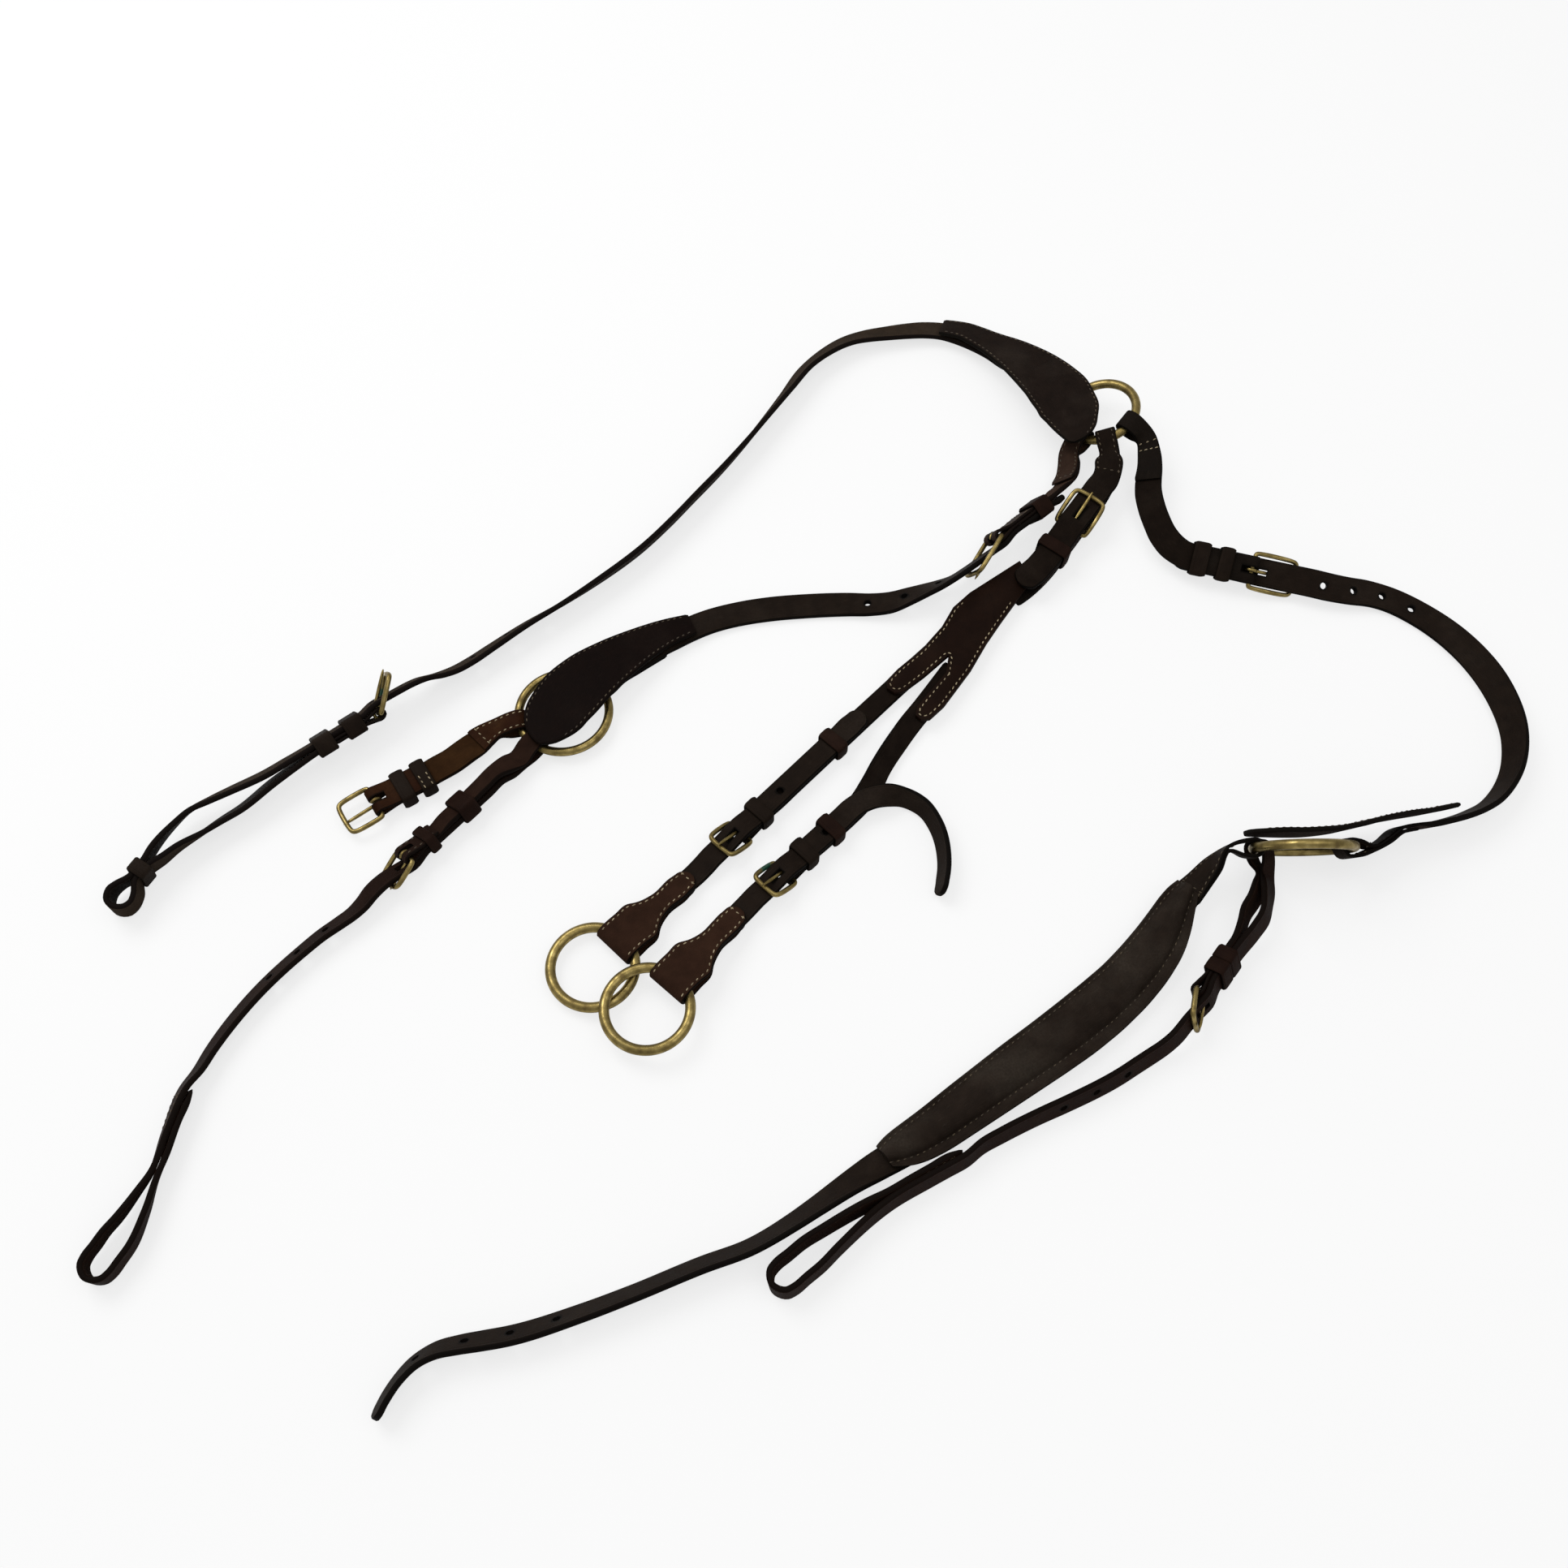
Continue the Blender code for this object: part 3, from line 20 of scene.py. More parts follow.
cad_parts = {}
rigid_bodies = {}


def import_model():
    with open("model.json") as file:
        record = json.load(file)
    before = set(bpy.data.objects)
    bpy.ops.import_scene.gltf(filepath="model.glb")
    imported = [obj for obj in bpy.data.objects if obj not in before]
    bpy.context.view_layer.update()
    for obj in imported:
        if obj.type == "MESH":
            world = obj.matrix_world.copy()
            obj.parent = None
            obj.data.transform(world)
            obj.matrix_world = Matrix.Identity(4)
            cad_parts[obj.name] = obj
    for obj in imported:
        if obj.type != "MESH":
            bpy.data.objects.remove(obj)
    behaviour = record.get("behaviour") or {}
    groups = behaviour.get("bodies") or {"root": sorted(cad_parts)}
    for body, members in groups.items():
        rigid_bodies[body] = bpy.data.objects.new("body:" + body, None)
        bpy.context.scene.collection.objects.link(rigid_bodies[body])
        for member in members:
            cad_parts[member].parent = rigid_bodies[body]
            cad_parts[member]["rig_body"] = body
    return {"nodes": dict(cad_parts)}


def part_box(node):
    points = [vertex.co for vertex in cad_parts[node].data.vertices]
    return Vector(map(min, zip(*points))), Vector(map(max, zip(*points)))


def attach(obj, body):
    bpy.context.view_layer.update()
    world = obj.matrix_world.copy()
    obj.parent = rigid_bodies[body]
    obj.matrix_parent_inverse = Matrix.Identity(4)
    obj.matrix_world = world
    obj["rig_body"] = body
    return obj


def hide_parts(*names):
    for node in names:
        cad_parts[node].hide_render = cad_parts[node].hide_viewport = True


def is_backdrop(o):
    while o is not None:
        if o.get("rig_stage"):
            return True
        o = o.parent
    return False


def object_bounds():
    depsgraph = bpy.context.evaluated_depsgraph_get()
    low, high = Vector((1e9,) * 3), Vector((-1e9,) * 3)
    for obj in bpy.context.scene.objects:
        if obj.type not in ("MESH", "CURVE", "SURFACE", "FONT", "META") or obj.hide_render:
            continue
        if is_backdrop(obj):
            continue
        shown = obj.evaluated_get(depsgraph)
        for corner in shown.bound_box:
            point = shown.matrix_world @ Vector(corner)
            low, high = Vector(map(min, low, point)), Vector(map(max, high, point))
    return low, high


MM = 0.001
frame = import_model()
NODES = frame["nodes"]
CAD_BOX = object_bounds()
print(len(NODES), "solids; the box in mm is", [round(c / MM) for c in CAD_BOX[1] - CAD_BOX[0]])

# %% [markdown]
# ## One helper for every node tree
#
# Materials and Geometry Nodes are both made of nodes with inputs. One small function adds a
# node, sets its plain settings and fills its inputs, either with a value or with a link.


# %% A node with its settings and links
def add(tree, kind, inputs=(), **settings):
    made = tree.nodes.new(kind)
    for name, value in settings.items():
        setattr(made, name, value)
    for socket, value in dict(inputs).items():
        if isinstance(value, bpy.types.NodeSocket):
            tree.links.new(value, made.inputs[socket])
        else:
            made.inputs[socket].default_value = value
    return made


def linear(code):
    """A colour written as #rrggbb, turned to the linear values that a shader reads."""
    values = [int(code[i : i + 2], 16) / 255 for i in (1, 3, 5)]
    return [v / 12.92 if v <= 0.04045 else ((v + 0.055) / 1.055) ** 2.4 for v in values]


def colour(code):
    return (*linear(code), 1.0)


# %% [markdown]
# ## Bridle leather
#
# Bridle leather is cowhide tanned, dyed and stuffed with grease. It has a smooth grain side
# with fine pores, a duller and paler flesh side, and edges that are dyed and rubbed until
# they shine. Old grease comes out as a grey bloom, and handling leaves pale scuffs.
#
# One recipe makes all its colours. It reads three values that each rebuilt piece of leather
# carries. "side" is 1 on the grain face, -1 on the flesh face and 0 on the edge. "rim" is the
# distance from the edge in millimetres, where the maker's crease runs. "run" is the distance
# along the strap in metres, which scuffs follow.

# %% The leather recipe
PORES_PER_METRE = 1500.0  # pores 0.7 mm apart
FIBRES_PER_METRE = 900.0
MOTTLE_PER_METRE = 160.0  # patches of dye about 6 mm across
BLOOM_PER_METRE = 38.0  # clouds of bloom about 26 mm across
SCUFF_STRETCH = (45.0, 2.2, 1.0)  # per metre along the strap, per millimetre from its edge
MOST_SCUFFED = 0.2  # share of the bloom's colour in a scuff
CREASE_FROM_EDGE = 1.7  # mm
CREASE_HALF_WIDTH = 0.45  # mm
FLESH_ROUGHNESS = 0.78
LEATHER_SHEEN = 0.035  # specular level: old greased leather hardly shines
LEATHER_IOR = 1.48
# heights of the relief, against the crease's depth of 1
PORE_HEIGHT, MOTTLE_HEIGHT, FIBRE_HEIGHT = 0.28, 1.6, 0.5


def leather(name, grain, flesh, edge, bloom, bloom_share=0.14, gloss=0.5):
    made = bpy.data.materials.new(name)
    made.use_nodes = True
    tree = made.node_tree
    shader = tree.nodes["Principled BSDF"]
    place = add(tree, "ShaderNodeTexCoord").outputs["Object"]
    side, rim, run = (
        add(tree, "ShaderNodeAttribute", attribute_name=word).outputs["Fac"]
        for word in ("side", "rim", "run")
    )
    wide, mottle, fibres = (
        add(tree, "ShaderNodeTexNoise", {"Vector": place, "Scale": scale, "Detail": detail})
        for scale, detail in ((BLOOM_PER_METRE, 4), (MOTTLE_PER_METRE, 5), (FIBRES_PER_METRE, 3))
    )
    pores = add(tree, "ShaderNodeTexVoronoi", {"Vector": place, "Scale": PORES_PER_METRE})

    flesh_mask = add(tree, "ShaderNodeMapRange", {0: side, 1: 0.0, 2: -0.8}).outputs[0]
    flat = add(tree, "ShaderNodeMath", {0: side}, operation="ABSOLUTE").outputs[0]
    flat_mask = add(tree, "ShaderNodeMapRange", {0: flat, 1: 0.25, 2: 0.9}).outputs[0]
    base = add(
        tree,
        "ShaderNodeMix",
        {0: flesh_mask, 6: colour(grain), 7: colour(flesh)},
        data_type="RGBA",
    ).outputs[2]
    dye = {0: mottle.outputs["Fac"], 1: 0.3, 2: 0.7, 3: 0.8, 4: 1.22}
    shade = add(tree, "ShaderNodeMapRange", dye).outputs[0]
    shaded = add(
        tree, "ShaderNodeVectorMath", {0: base, "Scale": shade}, operation="SCALE"
    ).outputs[0]
    clouds = add(tree, "ShaderNodeMapRange", {0: wide.outputs["Fac"], 1: 0.46, 2: 0.68})
    for factor in (fibres.outputs["Fac"], bloom_share):
        clouds = add(
            tree, "ShaderNodeMath", {0: clouds.outputs[0], 1: factor}, operation="MULTIPLY"
        )
    faded = add(
        tree,
        "ShaderNodeMix",
        {0: clouds.outputs[0], 6: shaded, 7: colour(bloom)},
        data_type="RGBA",
    ).outputs[2]
    streak = add(tree, "ShaderNodeCombineXYZ", {0: run, 1: rim}).outputs[0]
    streak = add(tree, "ShaderNodeMapping", {"Vector": streak, "Scale": SCUFF_STRETCH}).outputs[0]
    scuffs = add(tree, "ShaderNodeTexNoise", {"Vector": streak, "Scale": 3.0, "Detail": 6})
    worn = {0: scuffs.outputs["Fac"], 1: 0.6, 2: 0.74, 3: 0.0, 4: MOST_SCUFFED}
    scuffs = add(tree, "ShaderNodeMapRange", worn).outputs[0]
    scuffed = add(
        tree,
        "ShaderNodeMix",
        {0: scuffs, 6: faded, 7: colour(bloom)},
        data_type="RGBA",
    ).outputs[2]
    final = add(
        tree,
        "ShaderNodeMix",
        {0: flat_mask, 6: colour(edge), 7: scuffed},
        data_type="RGBA",
    ).outputs[2]
    tree.links.new(final, shader.inputs["Base Color"])
    dull = {0: flesh_mask, 3: gloss, 4: FLESH_ROUGHNESS}
    rough = add(tree, "ShaderNodeMapRange", dull).outputs[0]
    uneven = {0: mottle.outputs["Fac"], 1: 0.22, 2: rough}
    rough = add(tree, "ShaderNodeMath", uneven, operation="MULTIPLY_ADD").outputs[0]
    tree.links.new(rough, shader.inputs["Roughness"])
    shader.inputs["Specular IOR Level"].default_value = LEATHER_SHEEN
    shader.inputs["IOR"].default_value = LEATHER_IOR

    off = add(tree, "ShaderNodeMath", {0: rim, 1: CREASE_FROM_EDGE}, operation="SUBTRACT")
    off = add(tree, "ShaderNodeMath", {0: off.outputs[0]}, operation="ABSOLUTE").outputs[0]
    groove = {0: off, 1: 0.0, 2: CREASE_HALF_WIDTH, 3: -1.0, 4: 0.0}
    height = add(tree, "ShaderNodeMapRange", groove)
    for relief, tall in (
        (pores.outputs["Distance"], PORE_HEIGHT),
        (mottle.outputs["Fac"], MOTTLE_HEIGHT),
        (fibres.outputs["Fac"], FIBRE_HEIGHT),
    ):
        height = add(
            tree,
            "ShaderNodeMath",
            {0: relief, 1: tall, 2: height.outputs[0]},
            operation="MULTIPLY_ADD",
        )
    relief = {"Height": height.outputs[0], "Strength": 0.8, "Distance": 0.16 * MM}
    bump = add(tree, "ShaderNodeBump", relief)
    tree.links.new(bump.outputs[0], shader.inputs["Normal"])
    return made


# %% The leathers of this harness
LEATHERS = {
    "havana": leather("bridle_leather_havana", "#1a130e", "#241b16", "#0c0907", "#51483f"),
    # the havana made darker: painted shade for the straps that lie in shadow, not a blacker hide
    "havana_painted_shade": leather("bridle_leather_blackened", "#130e0a", "#16100c", "#0b0806", "#473e35"),
    "pad": leather(
        "panel_leather_bloomed", "#201914", "#261f1a", "#14100d", "#5b544a", 0.24, 0.55
    ),
    "safe": leather("safe_leather_worn", "#19120e", "#211a16", "#0f0c09", "#4f473f", 0.18, 0.52),
    "dark_safe": leather(
        "safe_leather_dark_red", "#0e0705", "#1c120d", "#0b0705", "#40332b", 0.12, 0.5
    ),
    "chestnut": leather("bridle_leather_chestnut", "#1c100b", "#241711", "#100a07", "#4c3a30"),
    "fork": leather("bridle_leather_fork", "#170c07", "#1f130d", "#0d0805", "#453326"),
    "tab": leather("bridle_leather_tab", "#29190f", "#2c1c14", "#100a07", "#55402f"),
    "tan": leather("bridle_leather_undyed", "#231006", "#2c1b0d", "#150c07", "#6a4a2c", 0.2, 0.5),
    "girth": leather("bridle_leather_brown", "#1d1510", "#2a2119", "#110c0a", "#5d544a"),
    "chape": leather("bridle_leather_flesh_red", "#2a1d16", "#33241b", "#120c09", "#5d4c40"),
}
print("leathers:", ", ".join(sorted(LEATHERS)))

# %% [markdown]
# ## Aged brass
#
# The rings and buckles are solid brass, cast and tumbled, then dulled by years of air and
# hands: olive brown in the hollows, pale gold where leather rubs them. Two noises mix those
# colours, and a fine bump leaves the slightly hammered skin of a casting. Green verdigris
# grows only where grease and brass meet, near the feet of two buckles.

# %% Brass with its tarnish
TARNISH_PER_METRE = 210.0  # spots about 5 mm across
DULLING_PER_METRE = 60.0  # broad patches about 17 mm across
BRASS_TONES = ((0.3, "#6c5c38"), (0.72, "#a6935f"), (0.5, "#897848"))  # the third is added
VERDIGRIS = "#123f2c"
VERDIGRIS_REACH = 9 * MM


def brass(name, green_at=None):
    made = bpy.data.materials.new(name)
    made.use_nodes = True
    tree = made.node_tree
    shader = tree.nodes["Principled BSDF"]
    place = add(tree, "ShaderNodeTexCoord").outputs["Object"]
    spots, broad = (
        add(tree, "ShaderNodeTexNoise", {"Vector": place, "Scale": scale, "Detail": detail})
        for scale, detail in ((TARNISH_PER_METRE, 3), (DULLING_PER_METRE, 2))
    )
    tone = add(tree, "ShaderNodeValToRGB", {0: spots.outputs["Fac"]})
    stops = tone.color_ramp.elements
    for k, (position, code) in enumerate(BRASS_TONES):
        stop = stops[k] if k < len(stops) else stops.new(position)
        stop.position = position
        stop.color = colour(code)
    worn = {0: broad.outputs["Fac"], 1: 0.35, 2: 0.65, 3: 0.82, 4: 1.05}
    dull = add(tree, "ShaderNodeMapRange", worn).outputs[0]
    final = add(
        tree, "ShaderNodeVectorMath", {0: tone.outputs[0], "Scale": dull}, operation="SCALE"
    ).outputs[0]
    shader.inputs["Metallic"].default_value = 1.0
    if green_at is not None:
        offset = add(tree, "ShaderNodeVectorMath", {0: place, 1: green_at}, operation="SUBTRACT")
        away = add(tree, "ShaderNodeVectorMath", {0: offset.outputs[0]}, operation="LENGTH")
        around = {0: away.outputs["Value"], 2: VERDIGRIS_REACH, 3: 1.0, 4: 0.0}
        near = add(tree, "ShaderNodeMapRange", around).outputs[0]
        grown = {0: near, 1: spots.outputs["Fac"]}
        patch = add(tree, "ShaderNodeMath", grown, operation="MULTIPLY").outputs[0]
        patch = add(tree, "ShaderNodeMapRange", {0: patch, 1: 0.14, 2: 0.3}).outputs[0]
        final = add(
            tree,
            "ShaderNodeMix",
            {0: patch, 6: final, 7: colour(VERDIGRIS)},
            data_type="RGBA",
        ).outputs[2]
        metal = add(tree, "ShaderNodeMapRange", {0: patch, 3: 1.0, 4: 0.0}).outputs[0]
        tree.links.new(metal, shader.inputs["Metallic"])
    tree.links.new(final, shader.inputs["Base Color"])
    polish = {0: spots.outputs["Fac"], 1: 0.35, 2: 0.65, 3: 0.48, 4: 0.26}
    rough = add(tree, "ShaderNodeMapRange", polish).outputs[0]
    tree.links.new(rough, shader.inputs["Roughness"])
    relief = {"Height": spots.outputs["Fac"], "Strength": 0.3, "Distance": 0.1 * MM}
    tree.links.new(add(tree, "ShaderNodeBump", relief).outputs[0], shader.inputs["Normal"])
    return made


BRASS = brass("cast_brass_aged")
print("brass:", BRASS.name)


# %% [markdown]
# ## How the straps lie
#
# Each strap is a ladder of cross-sections laid along its run: where its middle is, which way
# half its width points, and half its thickness. The run of one strap tells a story. The girth
# strap, for example, leaves the chest ring thin where it is folded, thickens to the full
# 3 mm, bends down over the floor, turns back on itself at the loop's end and runs up through
# its buckle.
#
# A full section is seven numbers: x, y, z of the middle and x, y, z of the half width in
# tenths of a millimetre, then the half thickness in hundredths. What a shorter section leaves
# out is as it was in the section before it.

# %% The laid-out sections
LAYOUT = {
    "girth_strap": """
        1169,2837,63,60,60,-8,90 1245,2768,67,51,57,0 1324,2699,66,45,51,9 1403,2629,75,38,44,14
        1469,2575,67,38,45,14 1524,2523,89 1526,2508,130 1514,2512,149 1480,2537,160
        1442,2576,142 1397,2628,96,38,44,14 1321,2698,87,45,51,9 1243,2770,88,51,57,0
        1166,2843,84,60,60,-8 1120,2889,73,61,58,-12,150 1036,2973,64,56,62,-16
        941,3045,57,47,68,-19 839,3107,51,39,73,-21 727,3151,48,20,79,-23 609,3162,48,-3,81,-27
        490,3149,52,-14,78,-31 372,3128,56,-15,75,-36 255,3103,61,-21,71,-42
        142,3063,67,-32,62,-49 -50,2922,77,-43,41,-60 -132,2833,80,-44,32,-65
        -257,2629,85,-40,21,-72 -383,2426,87,-33,20,-76 -512,2225,88,-29,19,-78
        -649,2029,88,-26,19,-79 -794,1838,89,-25,19,-79 -939,1648,88,-25,20,-79
        -1093,1466,88,-24,24,-78 -1357,1223,87,-25,30,-76 -1544,1074,85,-26,36,-72
        -1738,934,83,-30,40,-69 -1924,783,80,-34,42,-65 -2017,708,77,-33,45,-64
        -2101,648,80,-36,43,-64 -2185,596,101,-46,35,-63 -2270,547,139,-46,32,-64
        -2327,507,153,-36,39,-67 -2385,467,155,-30,43,-67 -2448,423,155 -2512,379,156
        -2575,313,143 -2671,241,140 -2863,96,135,-31,42,-67 -2944,33,138,-35,41,-66
        -3025,-31,142,-34,43,-65 -3214,-150,155,-30,43,-67 -3306,-202,155,-26,42,-69
        -3404,-264,155,-30,33,-72 -3464,-331,148,-31,25,-75 -3562,-483,137,-23,15,-80
        -3592,-561,132,-22,11,-81 -3639,-639,129,-14,22,-81 -3698,-675,125,-10,25,-81,149
        -3733,-711,119,-13,16,-83,150 -3735,-774,108,-12,11,-83 -3712,-797,101
        -3649,-797,91,-13,12,-83 -3625,-773,90,-13,16,-83 -3608,-720,99,-10,25,-81,151
        -3609,-655,119,-14,22,-81,150 -3564,-579,122,-22,11,-81 -3506,-522,114,-23,15,-80
        -3452,-460,106,-27,19,-78 -3332,-352,84,-30,33,-72 -3253,-287,83,-26,42,-69
        -3164,-222,86,-30,43,-67 -2998,-66,105,-34,43,-65 -2845,70,111,-32,42,-67
        -2767,136,117,-30,43,-67 -2718,179,122,-30,43,-67,90 -2640,237,124 -2562,296,126
        -2524,335,134 -2498,360,138 -2473,366,130 -2460,349,114 -2472,327,105 -2504,309,108
        -2552,283,113 -2628,226,111 -2703,169,109
    """,
    "girth_safe": """
        716,3153,85,-23,-73,22,130 787,3133,91,-24,-78,22 856,3109,97,-39,-78,22
        923,3066,104,-58,-76,21 986,3018,112,-66,-79,20 1136,2883,144,-98,-92,9
        1276,2713,180,-138,-99,0 1335,2625,194,-151,-97,-7 1386,2533,206,-173,-77,-13
        1415,2454,212,-175,-57,-15 1436,2373,216,-176,-33,-16 1444,2313,217,-156,-14,-14
        1446,2253,218,-134,6,-12 1436,2173,218,-73,15,-7 1426,2133,218,-24,6,-2
    """,
    "left_neck_chape": """
        1146,1680,158,-26,30,-69,90 1074,1617,158 1003,1554,157 956,1526,162 926,1506,165
        916,1482,158 931,1465,145 956,1471,138 980,1498,141 1015,1541,147 1088,1605,147
        1161,1669,148 1207,1716,151,-26,31,-69,150 1276,1777,151,-32,25,-69
        1335,1846,138,-44,17,-64 1374,1895,120,-51,15,-60,90 1412,1972,102,-54,14,-48
        1430,2057,91,-58,1,-33 1437,2143,87,-54,18,-18 1490,2208,75,-42,40,-15
        1527,2251,84,-43,39,-15 1543,2279,113 1539,2284,135 1528,2279,154 1497,2251,166
        1463,2208,149,-42,40,-15 1430,2144,107,-54,18,-18 1419,2061,109,-58,1,-33
        1401,1982,117,-54,14,-48 1364,1910,132,-51,15,-59
    """,
    "left_neck_strap": """
        1346,1801,119,-15,6,-23,150 1337,1789,122,-27,13,-45 1317,1767,127,-32,21,-63
        1293,1741,130,-30,27,-69 1272,1733,135,-27,29,-69 1191,1663,134,-26,30,-69 1111,1593,134
        1030,1523,133 973,1452,123 910,1400,124 785,1296,126,-27,30,-69 692,1228,123,-17,41,-66
        612,1192,110,-15,53,-58 529,1162,98,-15,62,-48 448,1136,82,-11,71,-35
        336,1110,53,-8,78,-18 219,1106,36,5,79,-9 100,1112,28,3,80,-5 -138,1105,23,-5,80,-1
        -375,1078,27,-13,79,0 -492,1057,27,-16,78,0 -718,985,33,-34,72,0 -823,929,39,-41,69,0
        -923,864,46,-48,64,0 -974,824,57,-51,61,0,90 -1049,757,66,-50,54,0 -1123,689,72,-45,49,0
        -1199,622,76,-39,46,0 -1257,573,103 -1314,525,101 -1326,515,86 -1326,515,44 -1314,525,29
        -1257,573,27 -1200,621,55 -1125,687,52,-45,49,0 -979,820,37,-51,61,0
    """,
    "left_safe": """
        -794,953,70,-29,64,0,130 -934,888,84,-44,78,0 -1074,793,110,-68,93,0
        -1214,683,130,-94,111,0 -1354,553,144,-127,120,0 -1454,433,146,-152,105,0
        -1491,374,146,-154,89,0 -1524,313,146,-152,76,0 -1564,223,146,-117,45,0
        -1584,168,146,-66,24,0 -1594,143,146,-23,9,0
    """,
    "wither_buckle_strap": """
        -2214,-20,85,-43,67,0,90 -2294,-71,85 -2374,-122,85 -2419,-151,96 -2450,-171,102
        -2469,-183,88 -2469,-183,62 -2450,-171,49 -2419,-151,54 -2374,-122,65 -2292,-70,65
        -2210,-17,64 -2155,18,71,-43,67,0,150 -2072,75,69,-49,63,0 -1997,142,68,-55,58,0
        -1950,187,61,-56,57,0,90 -1900,238,57,-48,51,0 -1842,280,55,-25,54,0
        -1769,301,27,-16,58,0 -1718,316,23,-17,58,0 -1683,326,44 -1677,327,65 -1683,326,86
        -1718,316,107 -1769,301,103,-16,58,0 -1841,280,76,-25,54,0 -1897,240,78,-48,51,0
        -1945,191,82,-57,57,0
    """,
    "left_saddle_strap": """
        -2119,-348,115,-42,37,-32,90 -2192,-430,116 -2232,-467,125 -2265,-503,127 -2266,-521,107
        -2248,-519,87 -2216,-481,88 -2185,-437,97 -2108,-351,97 -2068,-300,102,-42,37,-32,150
        -2009,-232,103 -1885,-86,110,-42,37,-33 -1825,-15,114,-43,38,-30 -1755,44,100,-45,45,-12
        -1707,87,78,-46,39,0,90 -1663,146,103,-48,36,0 -1618,206,101 -1608,218,86 -1608,218,44
        -1618,206,29 -1662,146,27 -1709,85,52,-46,39,0 -1758,30,58,-45,45,-12,150
        -1815,-34,75,-43,38,-30 -1868,-101,72,-42,37,-33 -1924,-164,72,-42,37,-32 -2035,-289,73
        -2105,-368,73 -2174,-446,74 -2227,-520,58 -2286,-574,72 -2345,-629,87
        -2409,-701,86,-40,40,-32,149 -2451,-756,69,-36,41,-36,150 -2502,-810,59,-32,39,-41
        -2558,-857,58,-31,38,-43 -2643,-927,59,-32,35,-44 -2722,-1004,58,-33,33,-45
        -2937,-1254,60,-37,27,-46 -3107,-1537,61,-39,18,-49 -3150,-1638,65,-39,12,-51
        -3196,-1728,82,-36,8,-54 -3248,-1941,84,-30,6,-58 -3290,-2153,81,-24,5,-60
        -3324,-2226,88,-21,3,-61 -3399,-2363,95,-12,5,-64 -3444,-2425,94,-9,7,-64
        -3475,-2480,90,-7,7,-64 -3508,-2535,87,-7,5,-64 -3518,-2568,85,-7,5,-64,149
        -3487,-2630,77,-7,5,-64,150 -3417,-2633,70,-7,5,-64,151 -3390,-2608,69,-7,5,-64,150
        -3355,-2549,69,-7,7,-64 -3322,-2489,70,-9,7,-64 -3280,-2325,70,-17,3,-63
        -3259,-2162,68,-24,5,-60 -3238,-2071,67,-27,6,-59 -3208,-1891,68,-31,6,-57
        -3188,-1804,66,-33,7,-55 -3176,-1740,66,-33,7,-50,60
    """,
    "martingale_strap": """
        1070,1191,119,-18,21,0,150 1081,1201,120,-36,41,0 1128,1245,123,-57,57,1
        1186,1304,129,-61,52,4 1238,1368,134,-65,46,6 1287,1437,140 1337,1506,146 1389,1577,170
        1449,1660,173 1508,1743,176 1567,1827,180,-65,47,6 1609,1885,177,-69,40,6
        1633,1949,181,-76,23,-4 1643,2020,193,-77,12,-18 1649,2064,187,-57,4,-19,90
        1637,2145,213,-56,-4,-20 1632,2202,216 1638,2240,194 1645,2246,173 1653,2240,153
        1662,2202,133 1664,2145,138 1657,2067,162,-57,4,-19 1639,1958,131,-64,20,-3,110
        1583,1857,107,-59,44,5,130 1516,1765,91,-65,46,6,150 1434,1653,60 1390,1593,55
        1347,1532,50 1306,1473,62 1268,1421,54 1231,1369,47 1170,1291,41,-57,51,3
        1102,1219,35,-50,54,0 1027,1154,32,-46,53,0
    """,
    "left_branch_strap": """
        -380,-202,30,-46,44,0,90 -442,-268,30 -479,-307,20 -513,-342,18 -522,-352,41
        -513,-342,64 -479,-307,62 -442,-268,51 -376,-199,51 -331,-152,45,-46,44,0,150
        -253,-69,45 -96,96,44 61,261,43 297,507,41,-45,44,0 456,671,41,-46,44,0
        616,833,40,-45,45,0
    """,
    "right_branch_strap": """
        -141,-446,41,-45,45,0,90 -204,-510,43 -242,-548,34 -268,-574,30 -284,-590,44
        -276,-583,80 -267,-573,83 -242,-548,77 -204,-509,64 -137,-442,62
        -91,-396,54,-45,45,0,150 -13,-317,50 65,-239,46,-44,45,0 138,-156,45,-52,37,3
        196,-61,50,-56,27,15 245,38,58,-49,24,33 359,228,54,-47,33,27 418,321,42,-52,36,5
        484,410,41,-51,38,0 676,683,40,-52,36,0
    """,
    "left_billet": """
        160,365,78,-16,15,0,150 150,354,78,-31,30,0 105,307,78,-46,44,0 25,223,78 -214,-28,78
        -366,-188,79 -442,-268,79 -504,-333,97 -558,-390,84 -612,-447,71 -659,-496,66
        -685,-524,56 -738,-579,43,-45,44,0 -820,-661,49,-43,43,0 -982,-826,56,-40,39,0
    """,
    "right_billet": """
        536,-707,68,8,-2,21,150 538,-693,68,16,-3,40 551,-629,68,22,-5,59 565,-519,68,22,-1,60
        528,-302,69,20,8,60 472,-208,69,17,16,59 381,-149,71,14,26,56 285,-145,102,0,51,38
        178,-164,95,-24,58,8 96,-206,78,-41,48,0 29,-275,82,-45,45,0 -126,-431,89 -203,-509,92
        -266,-572,113 -322,-629,102 -378,-685,91 -426,-733,89 -453,-760,79 -506,-815,68,-47,43,0
        -573,-894,87,-48,38,0 -636,-975,109,-45,37,0 -704,-1054,115,-42,37,0
    """,
    "left_ring_tab": """
        -756,-597,16,-16,16,0,90 -767,-608,17,-31,30,0 -813,-654,20,-45,45,0
        -918,-760,27,-45,44,0 -974,-817,28,-64,62,0 -1001,-846,28,-83,80,0 -1058,-905,15
        -1116,-965,10 -1132,-981,17 -1148,-997,56 -1132,-981,95 -1116,-965,102 -1058,-905,97
        -1001,-846,84 -974,-817,84,-64,62,0 -917,-759,83,-45,44,0 -811,-652,76,-45,45,0
        -765,-606,72,-31,30,0 -755,-595,72,-16,16,0
    """,
